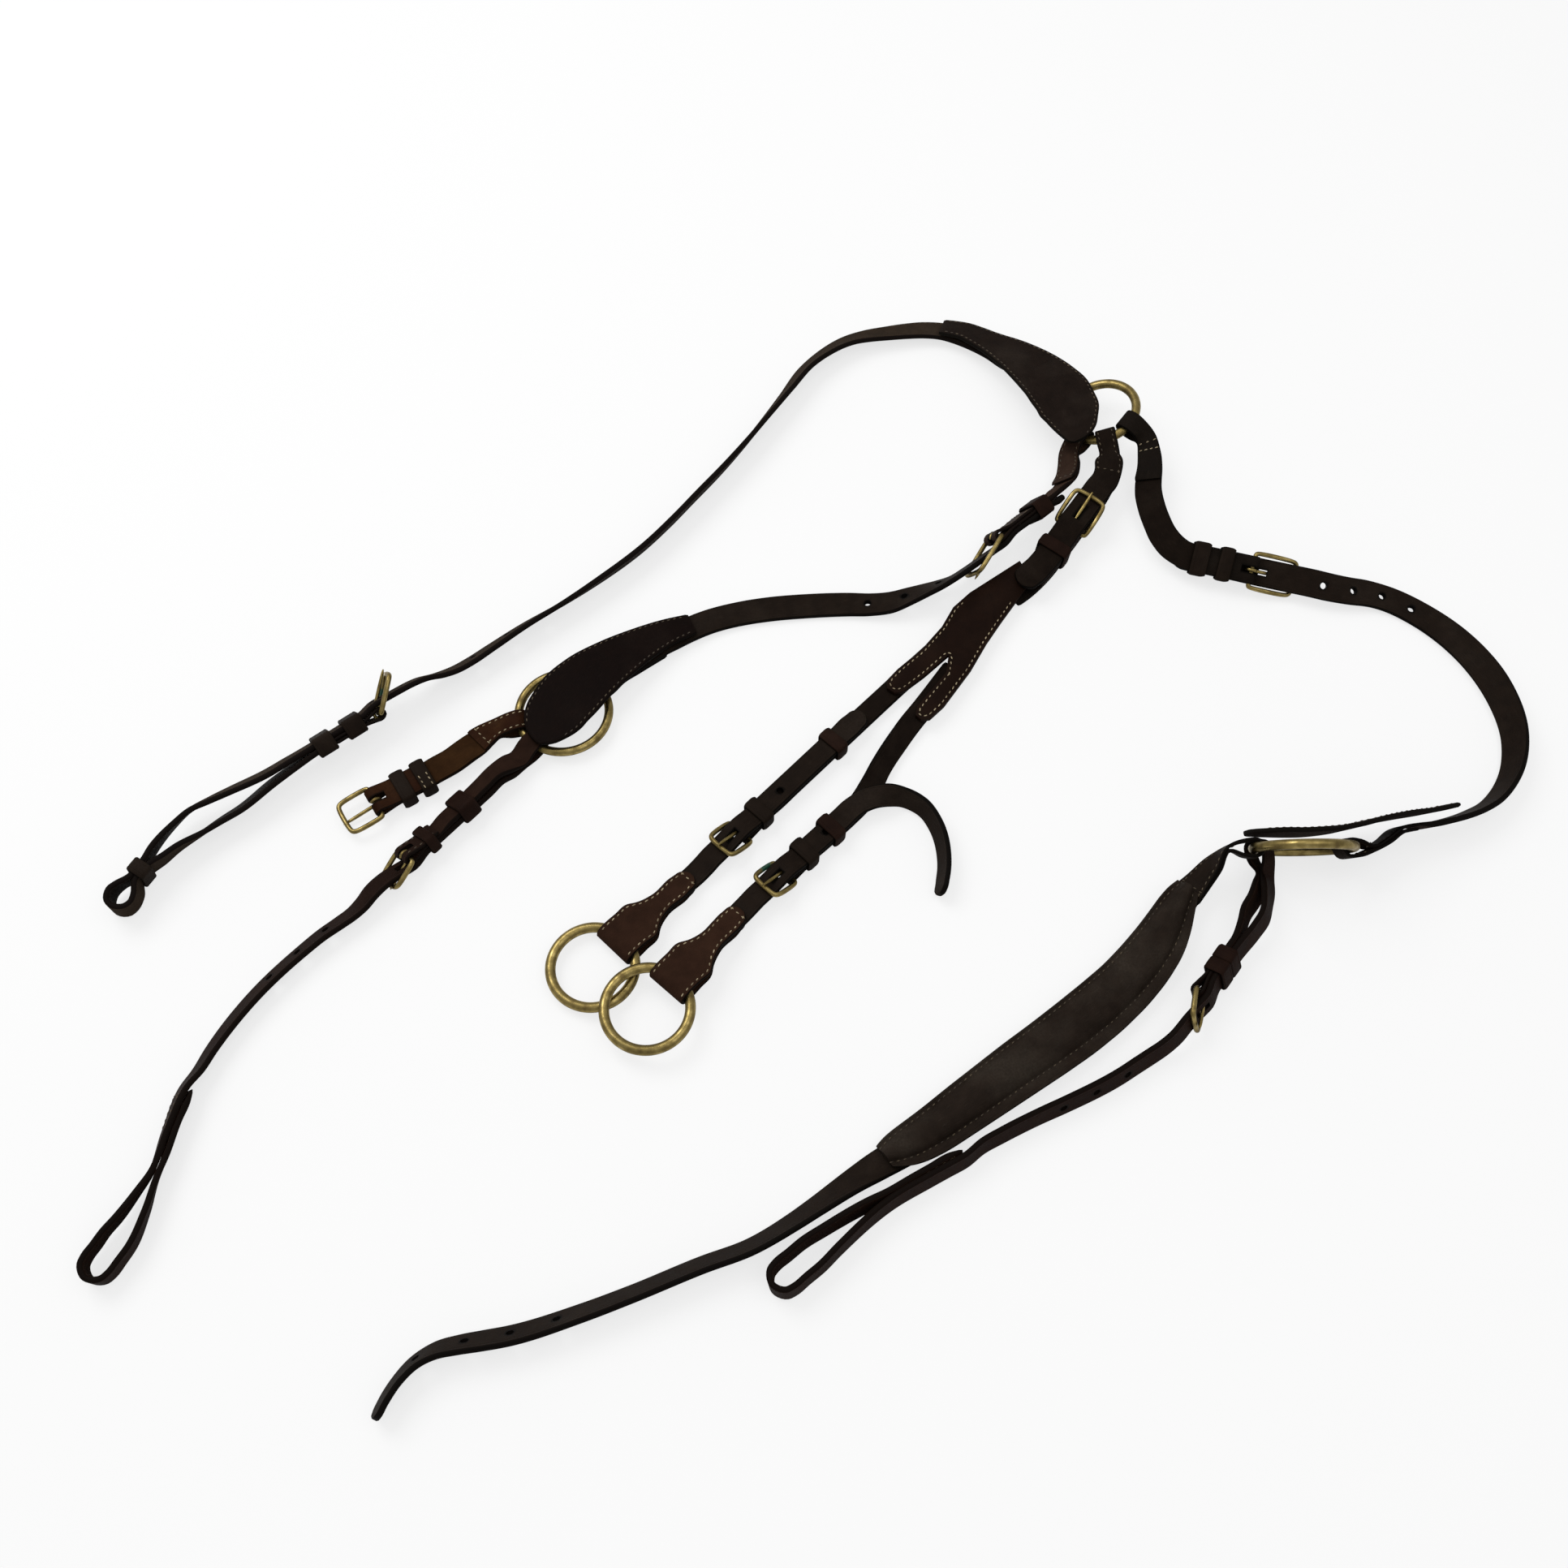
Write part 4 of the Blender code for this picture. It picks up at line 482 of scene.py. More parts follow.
    "right_ring_tab": """
        -496,-804,38,-16,15,0,90 -506,-815,40,-32,29,0 -550,-866,50,-49,40,0 -647,-988,83
        -696,-1045,87,-67,59,0 -723,-1075,87,-86,76,0 -777,-1137,73 -832,-1199,68 -847,-1216,75
        -858,-1229,91 -858,-1229,137 -847,-1216,153 -832,-1199,160 -777,-1137,155 -723,-1076,143
        -696,-1045,143,-67,59,0 -642,-982,139,-49,40,0 -591,-918,123,-50,39,0
        -543,-858,105,-49,40,0 -503,-811,95,-32,29,0 -493,-801,94,-16,15,0
    """,
    "right_neck_chape": """
        2124,1342,147,-17,-63,-46,90 2216,1318,147 2307,1293,147 2358,1273,155 2392,1260,160
        2416,1262,149 2420,1276,127 2400,1290,116 2364,1296,121 2310,1304,129 2216,1330,129
        2122,1355,129 2058,1367,135,-19,-63,-46,150 1975,1433,130,-52,-42,-44
        1925,1529,120,-64,-25,-42 1900,1635,110,-67,-16,-40 1881,1744,108,-70,-8,-38
        1873,1854,114,-71,3,-37 1880,1918,116,-70,16,-35,90 1897,2008,131,-65,16,-29
        1897,2100,155,-63,2,-22 1876,2185,185,-54,-23,-14 1819,2245,176,-37,-45,-14
        1775,2281,183,-38,-45,-14 1746,2297,212 1741,2293,234 1746,2283,254 1776,2254,267
        1821,2221,251,-37,-45,-14 1874,2177,204,-54,-23,-14 1890,2094,174,-63,2,-22
        1889,2009,151,-66,15,-29 1872,1922,136,-70,17,-35
    """,
    "right_neck_strap": """
        1996,1445,94,-18,-15,-16,150 2004,1435,95,-34,-30,-30 2022,1416,97,-40,-46,-42
        2044,1400,98,-31,-58,-46,148 2056,1388,107,-23,-61,-46,150 2141,1367,107,-17,-63,-46
        2228,1343,107 2315,1320,107 2404,1306,92 2484,1279,99 2644,1225,114 2742,1195,119
        2810,1177,116,-16,-67,-41 2883,1169,102,-12,-72,-33 2955,1165,87,-8,-75,-27
        3067,1165,61,-9,-78,-17 3176,1141,43,-29,-73,-12 3371,1024,33,-51,-61,-13
        3522,855,48,-60,-45,-27 3670,548,69,-59,-20,-51 3701,210,80,-45,5,-66
        3632,-6,82,-32,18,-71 3569,-100,81,-26,21,-72 3489,-180,87,-27,19,-73
        3394,-239,107,-27,22,-72 3184,-322,139,-17,26,-74 3074,-349,153,-14,26,-74
        3010,-354,163,-14,26,-74,90 2911,-384,175,-18,19,-69 2830,-447,183,-19,14,-62
        2748,-492,196,-14,19,-55,89 2676,-471,220,-12,20,-55,90 2603,-477,234 2582,-513,226
        2603,-546,209 2675,-542,194 2751,-511,189,-14,19,-55,91 2841,-463,176,-19,14,-62,90
        2917,-403,168,-18,19,-69 3008,-375,156,-14,26,-74
    """,
    "right_safe": """
        3246,-234,156,-18,22,-64,130 3106,-277,180,-21,28,-83 2946,-314,206,-24,36,-112
        2786,-354,224,-23,49,-145 2626,-399,228,-14,60,-169 2536,-414,228,-7,62,-171
        2446,-422,228,-4,63,-174 2366,-425,228,0,60,-164 2286,-424,228,0,56,-155
        2186,-425,228,-1,43,-117 2126,-426,228,0,24,-66 2106,-426,228,0,9,-23
    """,
    "wither_billet_strap": """
        1802,-723,75,-56,54,-19,90 1880,-647,105,-36,54,-35 1955,-575,153,-17,48,-43
        2021,-520,212,13,24,-53,91 2092,-549,213,8,20,-56,90 2166,-551,224 2187,-518,239
        2166,-483,248 2093,-478,239 2014,-501,219,13,24,-53,89 1938,-571,164,-18,48,-43,90
        1867,-646,121,-36,54,-34 1792,-727,93,-57,54,-18 1756,-778,74,-65,45,-11,150
        1699,-878,56,-70,39,-5 1638,-977,43,-64,47,-2 1487,-1155,29,-58,55,0
        1223,-1386,27,-49,63,0 937,-1591,27,-45,66,0 745,-1725,27,-46,65,0 553,-1860,26,-46,66,0
        360,-1991,27,-43,67,-1 160,-2112,49,-43,60,-31 62,-2175,63,-40,51,-47
        -131,-2307,76,-29,41,-62 -229,-2372,78,-26,38,-66 -432,-2488,79,-17,39,-68
        -652,-2568,79,-15,40,-68 -978,-2700,79 -1197,-2781,78,-14,42,-66
        -1534,-2883,76,-10,46,-65 -1649,-2903,77,-7,46,-65 -1752,-2920,77,-10,43,-64
        -1853,-2945,79,-14,37,-65 -1942,-2997,81,-23,25,-66 -2011,-3074,82,-25,17,-65
        -2063,-3164,82,-26,12,-64 -2088,-3224,82,-18,8,-43 -2094,-3237,82,-9,4,-22
    """,
    "right_saddle_strap": """
        1914,-1104,105,-21,16,59,90 1846,-1190,105 1805,-1226,100 1779,-1252,98 1775,-1277,104
        1794,-1292,114 1817,-1282,120 1836,-1250,118 1861,-1202,113 1932,-1111,113
        1968,-1057,111,-21,16,59,150 2022,-985,110,-21,17,59 2064,-897,98,-21,18,59
        2101,-810,82,-24,19,57 2152,-738,77,-29,19,55 2196,-662,69,-37,21,49
        2220,-598,69,-44,2,41,90 2189,-517,60,-42,-15,40 2176,-460,66 2176,-437,74 2185,-421,90
        2217,-421,124 2231,-437,133 2240,-460,134 2247,-517,121 2238,-600,88,-44,2,41
        2229,-670,98,-37,21,49,150 2208,-762,116,-29,19,55 2177,-854,129,-24,19,57
        2125,-924,128,-21,18,59 2011,-1052,124,-21,16,59 1946,-1135,124 1881,-1217,124
        1839,-1299,132 1783,-1354,128 1728,-1409,124 1655,-1488,109,-30,6,58
        1597,-1531,84,-27,9,59 1535,-1569,71,-16,17,60 1472,-1608,69,-12,19,61
        1377,-1668,69,-11,19,61 1078,-1817,69,-8,18,62 976,-1862,69,-8,17,62
        776,-1960,70,-8,16,63 678,-2014,72,-7,15,63 599,-2078,77,-7,14,63 510,-2127,77,-7,13,63
        419,-2176,77 242,-2276,76,-6,12,64 -19,-2498,86,-5,8,64 -101,-2579,87,-6,6,64
        -164,-2629,85,-5,6,65 -226,-2679,85 -259,-2694,84 -324,-2669,77 -334,-2600,70
        -313,-2571,68 -250,-2520,68 -188,-2470,69,-6,6,64 -88,-2409,70,-5,8,64
        118,-2294,68,-6,11,64 224,-2246,69,-6,12,64 323,-2190,69,-7,12,63 422,-2136,69,-7,13,63
        522,-2082,69,-7,14,63 582,-2057,71,-7,13,58,60
    """,
}

# %% [markdown]
# ## Rebuilding a strap
#
# A smooth curve is run through the sections, and the grain side is found by the right-hand
# rule from the width and the direction of travel. The strap's solid is only asked where its
# cuts are: the walls of a hole or a slot are the faces whose corners all lie well inside the
# strap's edges and which don't face out of the leather.

# %% The strap as a smooth ladder of sections
FINE_STEP = 1.7 * MM
EDGE_RADIUS = 0.8 * MM
EDGE_BAND = 0.8 * MM  # corners nearer to the edge than this belong to the edge
WALL_TILT = 0.75  # a wall's normal goes less than this share out of the leather
SAME_CUT = 3 * MM  # wall pieces nearer to each other than this are one cut
ROWS = (-1.0, -0.82, -0.45, 0.0, 0.45, 0.82, 1.0)
EDGE_TURNS = (60, 30, 0, -30, -60)
SECTION_UNITS = np.array([0.1] * 6 + [0.01]) * MM


def laid_out(node):
    """The full sections of one strap."""
    rows = [[]]
    for word in LAYOUT[node].split():
        given = [float(v) for v in word.split(",")]
        rows.append(given + rows[-1][len(given) :])
    return np.array(rows[1:]) * SECTION_UNITS


def smooth_run(points, step):
    """Points on a smooth curve through the given ones, about a step apart."""
    gaps = np.maximum(np.linalg.norm(np.diff(points[:, :3], axis=0), axis=1), 1e-7)
    slopes = np.diff(points, axis=0) / gaps[:, None]
    tangents = [slopes[0]]
    for i in range(1, len(points) - 1):
        a, b = gaps[i - 1], gaps[i]
        tangents.append((slopes[i - 1] * b + slopes[i] * a) / (a + b))
    tangents.append(slopes[-1])
    made = []
    for i, gap in enumerate(gaps):
        count = max(2, math.ceil(gap / step))
        for k in range(count):
            t = k / count
            made.append(
                points[i] * (2 * t**3 - 3 * t**2 + 1)
                + tangents[i] * gap * (t**3 - 2 * t**2 + t)
                + points[i + 1] * (3 * t**2 - 2 * t**3)
                + tangents[i + 1] * gap * (t**3 - t**2)
            )
    made.append(points[-1])
    return np.array(made)


def unit(rows):
    return rows / np.linalg.norm(rows, axis=-1, keepdims=True)


def merged(node):
    mesh = bmesh.new()
    mesh.from_mesh(NODES[node].data)
    bmesh.ops.remove_doubles(mesh, verts=mesh.verts, dist=0.002 * MM)
    return mesh


class Strap:
    """One strap: middle line, half width and half thickness vectors at each fine step."""

    def __init__(self, node):
        self.node = node
        fine = smooth_run(laid_out(node), FINE_STEP)
        self.middle, self.width = fine[:, :3], fine[:, 3:6]
        travel = np.gradient(self.middle, axis=0)
        self.across = unit(self.width)
        self.out = unit(np.cross(self.across, travel))
        self.thick = self.out * fine[:, 6:]
        steps = np.linalg.norm(np.diff(self.middle, axis=0), axis=1)
        self.at = np.concatenate([[0], np.cumsum(steps)])
        self.length = self.at[-1] / MM
        self.cuts = self.read_cuts()

    def nearest(self, point):
        return int(np.argmin(np.linalg.norm(self.middle - np.array(point), axis=1)))

    def read_cuts(self):
        """The corner points of each cut's walls."""
        mesh = merged(self.node)
        inside = {}
        for vert in mesh.verts:
            i = self.nearest(vert.co)
            w = abs((np.array(vert.co) - self.middle[i]) @ self.across[i])
            at_end = min(i, len(self.middle) - 1 - i) < 1
            inside[vert] = not at_end and w < np.linalg.norm(self.width[i]) - EDGE_BAND
        left = []  # a list and not a set, so that every run reads them in the same order
        for face in mesh.faces:
            out = self.out[self.nearest(face.calc_center_median())]
            if all(inside[v] for v in face.verts) and abs(np.array(face.normal) @ out) < WALL_TILT:
                left.append(face)
        cuts = []
        while left:
            queue, verts = [left.pop(0)], {}
            while queue:
                here = queue.pop()
                verts.update(dict.fromkeys(here.verts))
                for vert in here.verts:
                    for other in vert.link_faces:
                        if other in left:
                            left.remove(other)
                            queue.append(other)
            cuts.append(np.array([v.co for v in verts]))
        mesh.free()
        return self.joined(cuts)

    def joined(self, cuts):
        """Pieces of one cut's walls that were read apart, put together again."""
        whole = []
        for points in sorted(cuts, key=len, reverse=True):
            middle = (points.max(0) + points.min(0)) / 2
            home = [
                k
                for k, other in enumerate(whole)
                if np.abs(other - middle).max(1).min() < SAME_CUT
            ]
            if home:
                whole[home[0]] = np.vstack([whole[home[0]], points])
            else:
                whole.append(points)
        return whole

    def step(self, s):
        """Index of the section at s millimetres from the strap's first end."""
        return int(np.clip(np.searchsorted(self.at, s * MM), 0, len(self.at) - 1))


STRAPS = {node: Strap(node) for node in LAYOUT}
for node, strap in STRAPS.items():
    print(f"{node}: {strap.length:.0f} mm, {len(strap.middle)} steps, {len(strap.cuts)} cuts")


# %% Sweep the rounded section
END_SHRINK = 0.45 * MM  # an end's edges are rubbed down by this


def section(half_width, half_thickness):
    """Corner-rounded section points (w, t), each with its side value."""
    r = min(EDGE_RADIUS, 0.9 * half_thickness)
    flat = half_width - r
    bulge = []
    for turn in EDGE_TURNS:
        a = math.radians(turn)
        rise = (half_thickness - r) * a / math.pi * 2 + r * math.sin(a)
        bulge.append((flat + r * math.cos(a), rise))
    return [
        *((k * flat, half_thickness, 1.0) for k in ROWS),
        *((w, t, 0.0) for w, t in bulge),
        *((k * flat, -half_thickness, -1.0) for k in reversed(ROWS)),
        *((-w, t, 0.0) for w, t in reversed(bulge)),
    ]


def carry(mesh, side, rim, run):
    """Give a mesh the three values that the leather reads, one of each for every point."""
    for name, numbers in (("side", side), ("rim", rim), ("run", run)):
        made = mesh.attributes.new(name, "FLOAT", "POINT")
        made.data.foreach_set("value", np.asarray(numbers, np.float32))


def skin(name, corners, faces):
    """A mesh of leather from (place, side, rim, run) corners, its faces turned outward."""
    places, *columns = zip(*corners)
    mesh = bpy.data.meshes.new(name)
    mesh.from_pydata([tuple(place) for place in places], [], faces)
    carry(mesh, *columns)
    shaped = bmesh.new()
    shaped.from_mesh(mesh)
    bmesh.ops.recalc_face_normals(shaped, faces=shaped.faces)
    shaped.to_mesh(mesh)
    shaped.free()
    return mesh


def sweep(strap, flesh_outside=False):
    corners, faces = [], []
    last = len(strap.middle) - 1
    ring = 2 * (len(ROWS) + len(EDGE_TURNS))
    sign = -1.0 if flesh_outside else 1.0
    for i in range(last + 1):
        half_w = np.linalg.norm(strap.width[i])
        half_t = np.linalg.norm(strap.thick[i])
        across, out = strap.width[i] / half_w, strap.thick[i] / half_t
        shrink = END_SHRINK if i in (0, last) else 0.0
        for w, t, side in section(half_w - shrink, half_t - shrink):
            place = strap.middle[i] + across * w + out * t
            corners.append((place, side * sign, (half_w - abs(w)) / MM, strap.at[i]))
    for i in range(last):
        for k in range(ring):
            a, b = i * ring + k, i * ring + (k + 1) % ring
            faces.append((a, b, b + ring, a + ring))
    faces.append(tuple(reversed(range(ring))))
    faces.append(tuple(range(last * ring, (last + 1) * ring)))
    return skin(strap.node + "_skin", corners, faces)


# %% [markdown]
# ## Punching holes and slots
#
# A punch leaves a clean round hole, and a tongue slot is a longer one. Each cutter here is a
# cylinder or the hull of the slot's walls, grown a little through the leather so that it
# breaks both faces, and one exact Boolean takes them all out of a strap.

# %% Cutters
LARGEST_HOLE = 4.6 * MM  # across; any cut that is longer along the strap is a slot
HOLE_RADIUS = 1.9 * MM
PUNCH_SIDES = 20
PUNCH_DEPTH = 3.2  # half thicknesses of the strap
SLOT_GROWTH = 0.16  # share by which a slot's walls go on past both faces


def kept(mesh, name):
    """A working mesh written to a named one and freed."""
    data = bpy.data.meshes.new(name)
    mesh.to_mesh(data)
    mesh.free()
    return data


def cutters(strap):
    mesh = bmesh.new()
    for points in strap.cuts:
        centre = points.mean(0)
        i = strap.nearest(centre)
        across = strap.width[i] / np.linalg.norm(strap.width[i])
        out = strap.thick[i] / np.linalg.norm(strap.thick[i])
        away = points - centre
        travel = np.cross(across, out)
        if np.ptp(away @ travel) < LARGEST_HOLE:
            centre = strap.middle[i] + across * ((centre - strap.middle[i]) @ across)
            turn = Matrix(np.array([across, travel, out]).T.tolist()).to_4x4()
            bmesh.ops.create_cone(
                mesh,
                cap_ends=True,
                segments=PUNCH_SIDES,
                radius1=HOLE_RADIUS,
                radius2=HOLE_RADIUS,
                depth=PUNCH_DEPTH * np.linalg.norm(strap.thick[i]),
                matrix=Matrix.Translation(centre) @ turn,
            )
            continue
        flat = away - np.outer(away @ across, across)
        grown = centre + away + flat * SLOT_GROWTH
        hull = bmesh.ops.convex_hull(mesh, input=[mesh.verts.new(p) for p in grown])
        spare = [v for v in hull["geom_interior"] if isinstance(v, bmesh.types.BMVert)]
        bmesh.ops.delete(mesh, geom=spare, context="VERTS")
    bmesh.ops.recalc_face_normals(mesh, faces=mesh.faces)
    return kept(mesh, strap.node + "_punch")


# %% Show a mesh and settle its modifiers
def show(name, mesh):
    thing = bpy.data.objects.new(name, mesh)
    bpy.context.scene.collection.objects.link(thing)
    return thing


def modify(thing, name, kind, **settings):
    made = thing.modifiers.new(name, kind)
    for setting, value in settings.items():
        setattr(made, setting, value)
    return made


def settle(thing):
    """Turn an object's evaluated shape into its plain mesh, with its modifiers gone."""
    bpy.context.view_layer.update()
    depsgraph = bpy.context.evaluated_depsgraph_get()
    mesh = bpy.data.meshes.new_from_object(thing.evaluated_get(depsgraph))
    thing.modifiers.clear()
    thing.data = mesh
    return thing


def smooth(mesh, degrees=38):
    mesh.shade_smooth()
    mesh.set_sharp_from_angle(angle=math.radians(degrees))


# %% Dress a finished piece
RECORD_SLOTS = ("dark_leather", "red_leather", "tan_leather", "brass")


def slot_of(node):
    """The record's slot that a solid has, read from its material's name."""
    name = NODES[node].data.materials[0].name
    return next(slot for slot in RECORD_SLOTS if slot in name)


def body_of(node):
    return NODES[node]["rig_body"]


def dress(thing, look, node):
    """Give a finished piece its material and its body, and hide the solid that it stands for."""
    thing.data.materials.clear()
    thing.data.materials.append(look)
    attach(thing, body_of(node))
    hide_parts(node)
    return thing


# %% [markdown]
# ## Which leather goes where
#
# The harness was made of several hides. The girth strap is brown and shows its duller flesh
# side. The neck straps, the billets and the wither strap are dark havana; the martingale, the
# branches and the right chape get a darker copy of the havana, which is painted shade for the
# shadow they lie in. The left chape is a paler red, the saddle straps, the forked piece, the
# ring tabs and some keepers are reddish brown, and the short strap with the open buckle has
# kept its tan.

# %% Dress the straps
LOOK_OF = {  # what isn't named here is havana
    "girth_strap": "girth",
    "girth_safe": "safe",
    "left_safe": "dark_safe",
    "right_safe": "safe",
    "left_neck_chape": "chape",
    # these four take the darker copy of the havana, which is painted shade
    "right_neck_chape": "havana_painted_shade",
    "martingale_strap": "havana_painted_shade",
    "left_branch_strap": "havana_painted_shade",
    "right_branch_strap": "havana_painted_shade",
    "wither_buckle_strap": "tan",
    "left_saddle_strap": "chestnut",
    "right_saddle_strap": "chestnut",
    "left_ring_tab": "tab",
    "right_ring_tab": "tab",
}
FLESH_OUTSIDE = {"girth_strap"}
SELF_TOUCHING = {"girth_strap", "left_saddle_strap", "right_saddle_strap"}  # their sewn loops
for node, strap in STRAPS.items():
    piece = show(node + "_leather", sweep(strap, node in FLESH_OUTSIDE))
    if strap.cuts:
        punch = show(node + "_punch", cutters(strap))
        cut = modify(piece, "punch", "BOOLEAN", operation="DIFFERENCE", solver="EXACT")
        cut.object = punch
        cut.use_self = node in SELF_TOUCHING
        settle(piece)
        bpy.data.objects.remove(punch, do_unlink=True)
    smooth(piece.data)
    dress(piece, LEATHERS[LOOK_OF.get(node, "havana")], node)
print("rebuilt", len(STRAPS), "straps")

# %% [markdown]
# ## Rings, buckles and tongues
#
# These are bent from round brass wire. Their solids are right but have few sides, so each
# one is copied, its loose triangles are joined into quads, and a subdivision surface rounds
# it. A subdivision surface shrinks a coarse tube towards its middle line, so the copy is
# first pushed out along its normals by that much.

# %% Round the brass
WIRES = {  # radius of the wire, sides of the solid's tube
    "ring": (2.7 * MM, 8),
    "buckle": (1.4 * MM, 8),
    "tongue": (1.05 * MM, 6),
}
SLACK = {"left_wither_ring": 0.15 * MM}  # leaves room for the strap that lifts over it
ROUND_LEVELS = 2
FOOT_TO_HEAD = 0.4  # how far up the frame from its foot the verdigris sits


def rounded_copy(node, wire, sides):
    mesh = merged(node)
    bmesh.ops.join_triangles(
        mesh,
        faces=mesh.faces,
        angle_face_threshold=math.radians(8),
        angle_shape_threshold=math.radians(60),
    )
    shrink = wire * (1 - (4 + 2 * math.cos(2 * math.pi / sides)) / 6)
    shrink -= SLACK.get(node, 0.0)
    mesh.normal_update()
    for vert in mesh.verts:
        vert.co += vert.normal * shrink
    piece = show(node + "_brass", kept(mesh, node + "_round"))
    modify(piece, "round", "SUBSURF", levels=ROUND_LEVELS, render_levels=ROUND_LEVELS)
    settle(piece)
    smooth(piece.data, 60)
    return piece


GREEN = {}
for node in ("girth_buckle", "right_branch_buckle"):
    low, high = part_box(node)
    halves = ([], [])
    for vert in NODES[node].data.vertices:
        halves[vert.co.z > (low[2] + high[2]) / 2].append(vert.co)
    foot, head = (min(half, key=lambda co: co.x) for half in halves)
    foot = tuple(foot.lerp(head, FOOT_TO_HEAD))
    GREEN[node] = brass("cast_brass_verdigris_" + node, green_at=foot)
for node in sorted(NODES):
    kind = node.split("_")[-1]
    if kind in WIRES:
        dress(rounded_copy(node, *WIRES[kind]), GREEN.get(node, BRASS), node)
print("rounded the rings, buckles and tongues")

# %% [markdown]
# ## Keepers
#
# A keeper is a narrow strip of leather bent round the straps and butted under them. It is
# blocked wet, which rounds its corners and leaves its rims a little thinner than its middle.
# Each one is drawn as rings of points from rim to rim, inside its solid's walls. Its inner
# rims are flared, so that it slides over the strap without catching.

# %% Block the keepers
KEEPER_WALL = 1.5 * MM  # the solid's
KEEPER_SIDE = 1.25 * MM  # wall left at the sides, where the leather is stretched thin
KEEPER_CORNER = 2.4 * MM
KEEPER_INNER_CORNER = 0.35 * MM
KEEPER_RIM = (  # in mm: from the rim, off the top, off the sides, flared inside
    (0.0, 0.9, 0.85, 0.3),
    (0.15, 0.5, 0.7, 0.2),
    (0.45, 0.2, 0.5, 0.08),
    (0.9, 0.03, 0.3, 0.0),
    (1.4, 0.0, 0.15, 0.0),
    (1.8, 0.18, 0.06, 0.0),
    (2.4, 0.1, 0.0, 0.0),
)
CORNER_STEPS = 5
CORNERS = ((1, 1), (-1, 1), (-1, -1), (1, -1))
SAME_LENGTH = 0.01 * MM
PARALLEL = 0.9999  # least cosine between edges that run the same way
SQUARE = 0.05  # greatest cosine between directions that stand square to each other
LOOP_STEP = 2 * MM  # what the scuffs take as the way from one point of a loop to the next
PAIR_SHIFT = 0.1  # m; gives the second keeper of a pair its own scuffs
PAIRED_KEEPER = "right_saddle_keeper"  # one solid that stands for two keepers side by side


def flattened(node):
    """A solid's mesh with its flat faces whole again."""
    mesh = merged(node)
    flat = math.radians(1)
    bmesh.ops.dissolve_limit(mesh, angle_limit=flat, verts=mesh.verts, edges=mesh.edges)
    return mesh


def corner_loop(half_x, half_y, radius):
    """Points round a rectangle with rounded corners."""
    points = []
    for quarter, (x, y) in enumerate(CORNERS):
        for step in range(CORNER_STEPS):
            a = math.radians(90 * (quarter + step / (CORNER_STEPS - 1)))
            across = x * (half_x - radius) + radius * math.cos(a)
            points.append((across, y * (half_y - radius) + radius * math.sin(a)))
    return points


def keeper_axes(mesh):
    """Unit vectors along the strap, across it and out of it."""
    edges = [edge.verts[1].co - edge.verts[0].co for edge in mesh.edges]

    def alike(a):
        """How many edges are as long as this one and run the same way."""
        return sum(
            abs(a.length - b.length) < SAME_LENGTH
            and abs(a.dot(b)) > PARALLEL * a.length * b.length
            for b in edges
        )

    along = max(edges, key=alike).normalized()
    sides = [face for face in mesh.faces if abs(face.normal.dot(along)) < SQUARE]
    out = max(sides, key=lambda face: face.calc_area()).normal.copy()
    return along, out.cross(along), out


def keeper_stations(long):
    """The rim's rows in metres, from the near rim and then back from the far one."""
    near = [tuple(value * MM for value in row) for row in KEEPER_RIM]
    return near + [(long - inset, *drops) for inset, *drops in reversed(near)]


def blocked_keeper(node):
    """A keeper with rounded corners and thinned rims, inside its solid's walls."""
    mesh = flattened(node)
    along, across, out = keeper_axes(mesh)
    centre = sum((vert.co for vert in mesh.verts), Vector()) / len(mesh.verts)
    half_l, half_x, half_y = (
        max(abs((v.co - centre).dot(axis)) for v in mesh.verts) for axis in (along, across, out)
    )
    mesh.free()
    parts = 2 if node == PAIRED_KEEPER else 1
    long = 2 * half_l / parts
    stations = keeper_stations(long)
    corners, faces = [], []
    ring = len(CORNERS) * CORNER_STEPS
    for part in range(parts):
        start = -half_l + part * long
        base = len(corners)
        for at, down, pulled, flare in stations:
            side_x = half_x - KEEPER_WALL + KEEPER_SIDE - pulled
            outer = corner_loop(side_x, half_y - down, KEEPER_CORNER - down)
            room_x, room_y = half_x - KEEPER_WALL + flare, half_y - KEEPER_WALL + flare
            inner = corner_loop(room_x, room_y, KEEPER_INNER_CORNER)
            for loop, shown in ((outer, 1.0), (inner, -1.0)):
                side = 0.0 if at in (0.0, long) else shown
                for k, (x, y) in enumerate(loop):
                    place = centre + along * (start + at) + across * x + out * y
                    run = k * LOOP_STEP + part * PAIR_SHIFT
                    corners.append((place, side, min(at, long - at) / MM, run))
        for j in range(len(stations) - 1):
            for k in range(ring):
                a = base + j * 2 * ring + k
                b = base + j * 2 * ring + (k + 1) % ring
                faces.append((a, b, b + 2 * ring, a + 2 * ring))
                faces.append((b + ring, a + ring, a + 3 * ring, b + 3 * ring))
        last = base + (len(stations) - 1) * 2 * ring
        for k in range(ring):
            n = (k + 1) % ring
            faces.append((base + n, base + k, base + ring + k, base + ring + n))
            faces.append((last + k, last + n, last + ring + n, last + ring + k))
    data = skin(node + "_blocked", corners, faces)
    smooth(data, 60)
    return show(node + "_leather", data)


for node in sorted(NODES):
    if node.endswith("keeper"):
        look = "chestnut" if slot_of(node) == "red_leather" else "havana"
        dress(blocked_keeper(node), LEATHERS[look], node)
print("blocked the keepers")

# %% [markdown]
# ## The forked piece and the pad
#
# The fork is cut from one thick hide, so its edges are only rounded. The pad is a panel sewn
# along both sides, with a stuffed roll between its two seams. The seam on its wide side lies
# further in and leaves a flat rim outside. A section is laid across it at each step. Its
# height follows the solid's own crown, with a channel where each seam pulls the leather down.

# %% The forked piece
FORK_BEVEL = 0.6 * MM
FORK_RIM = 6.0  # mm; the fork's leather carries this everywhere, so it shows no crease


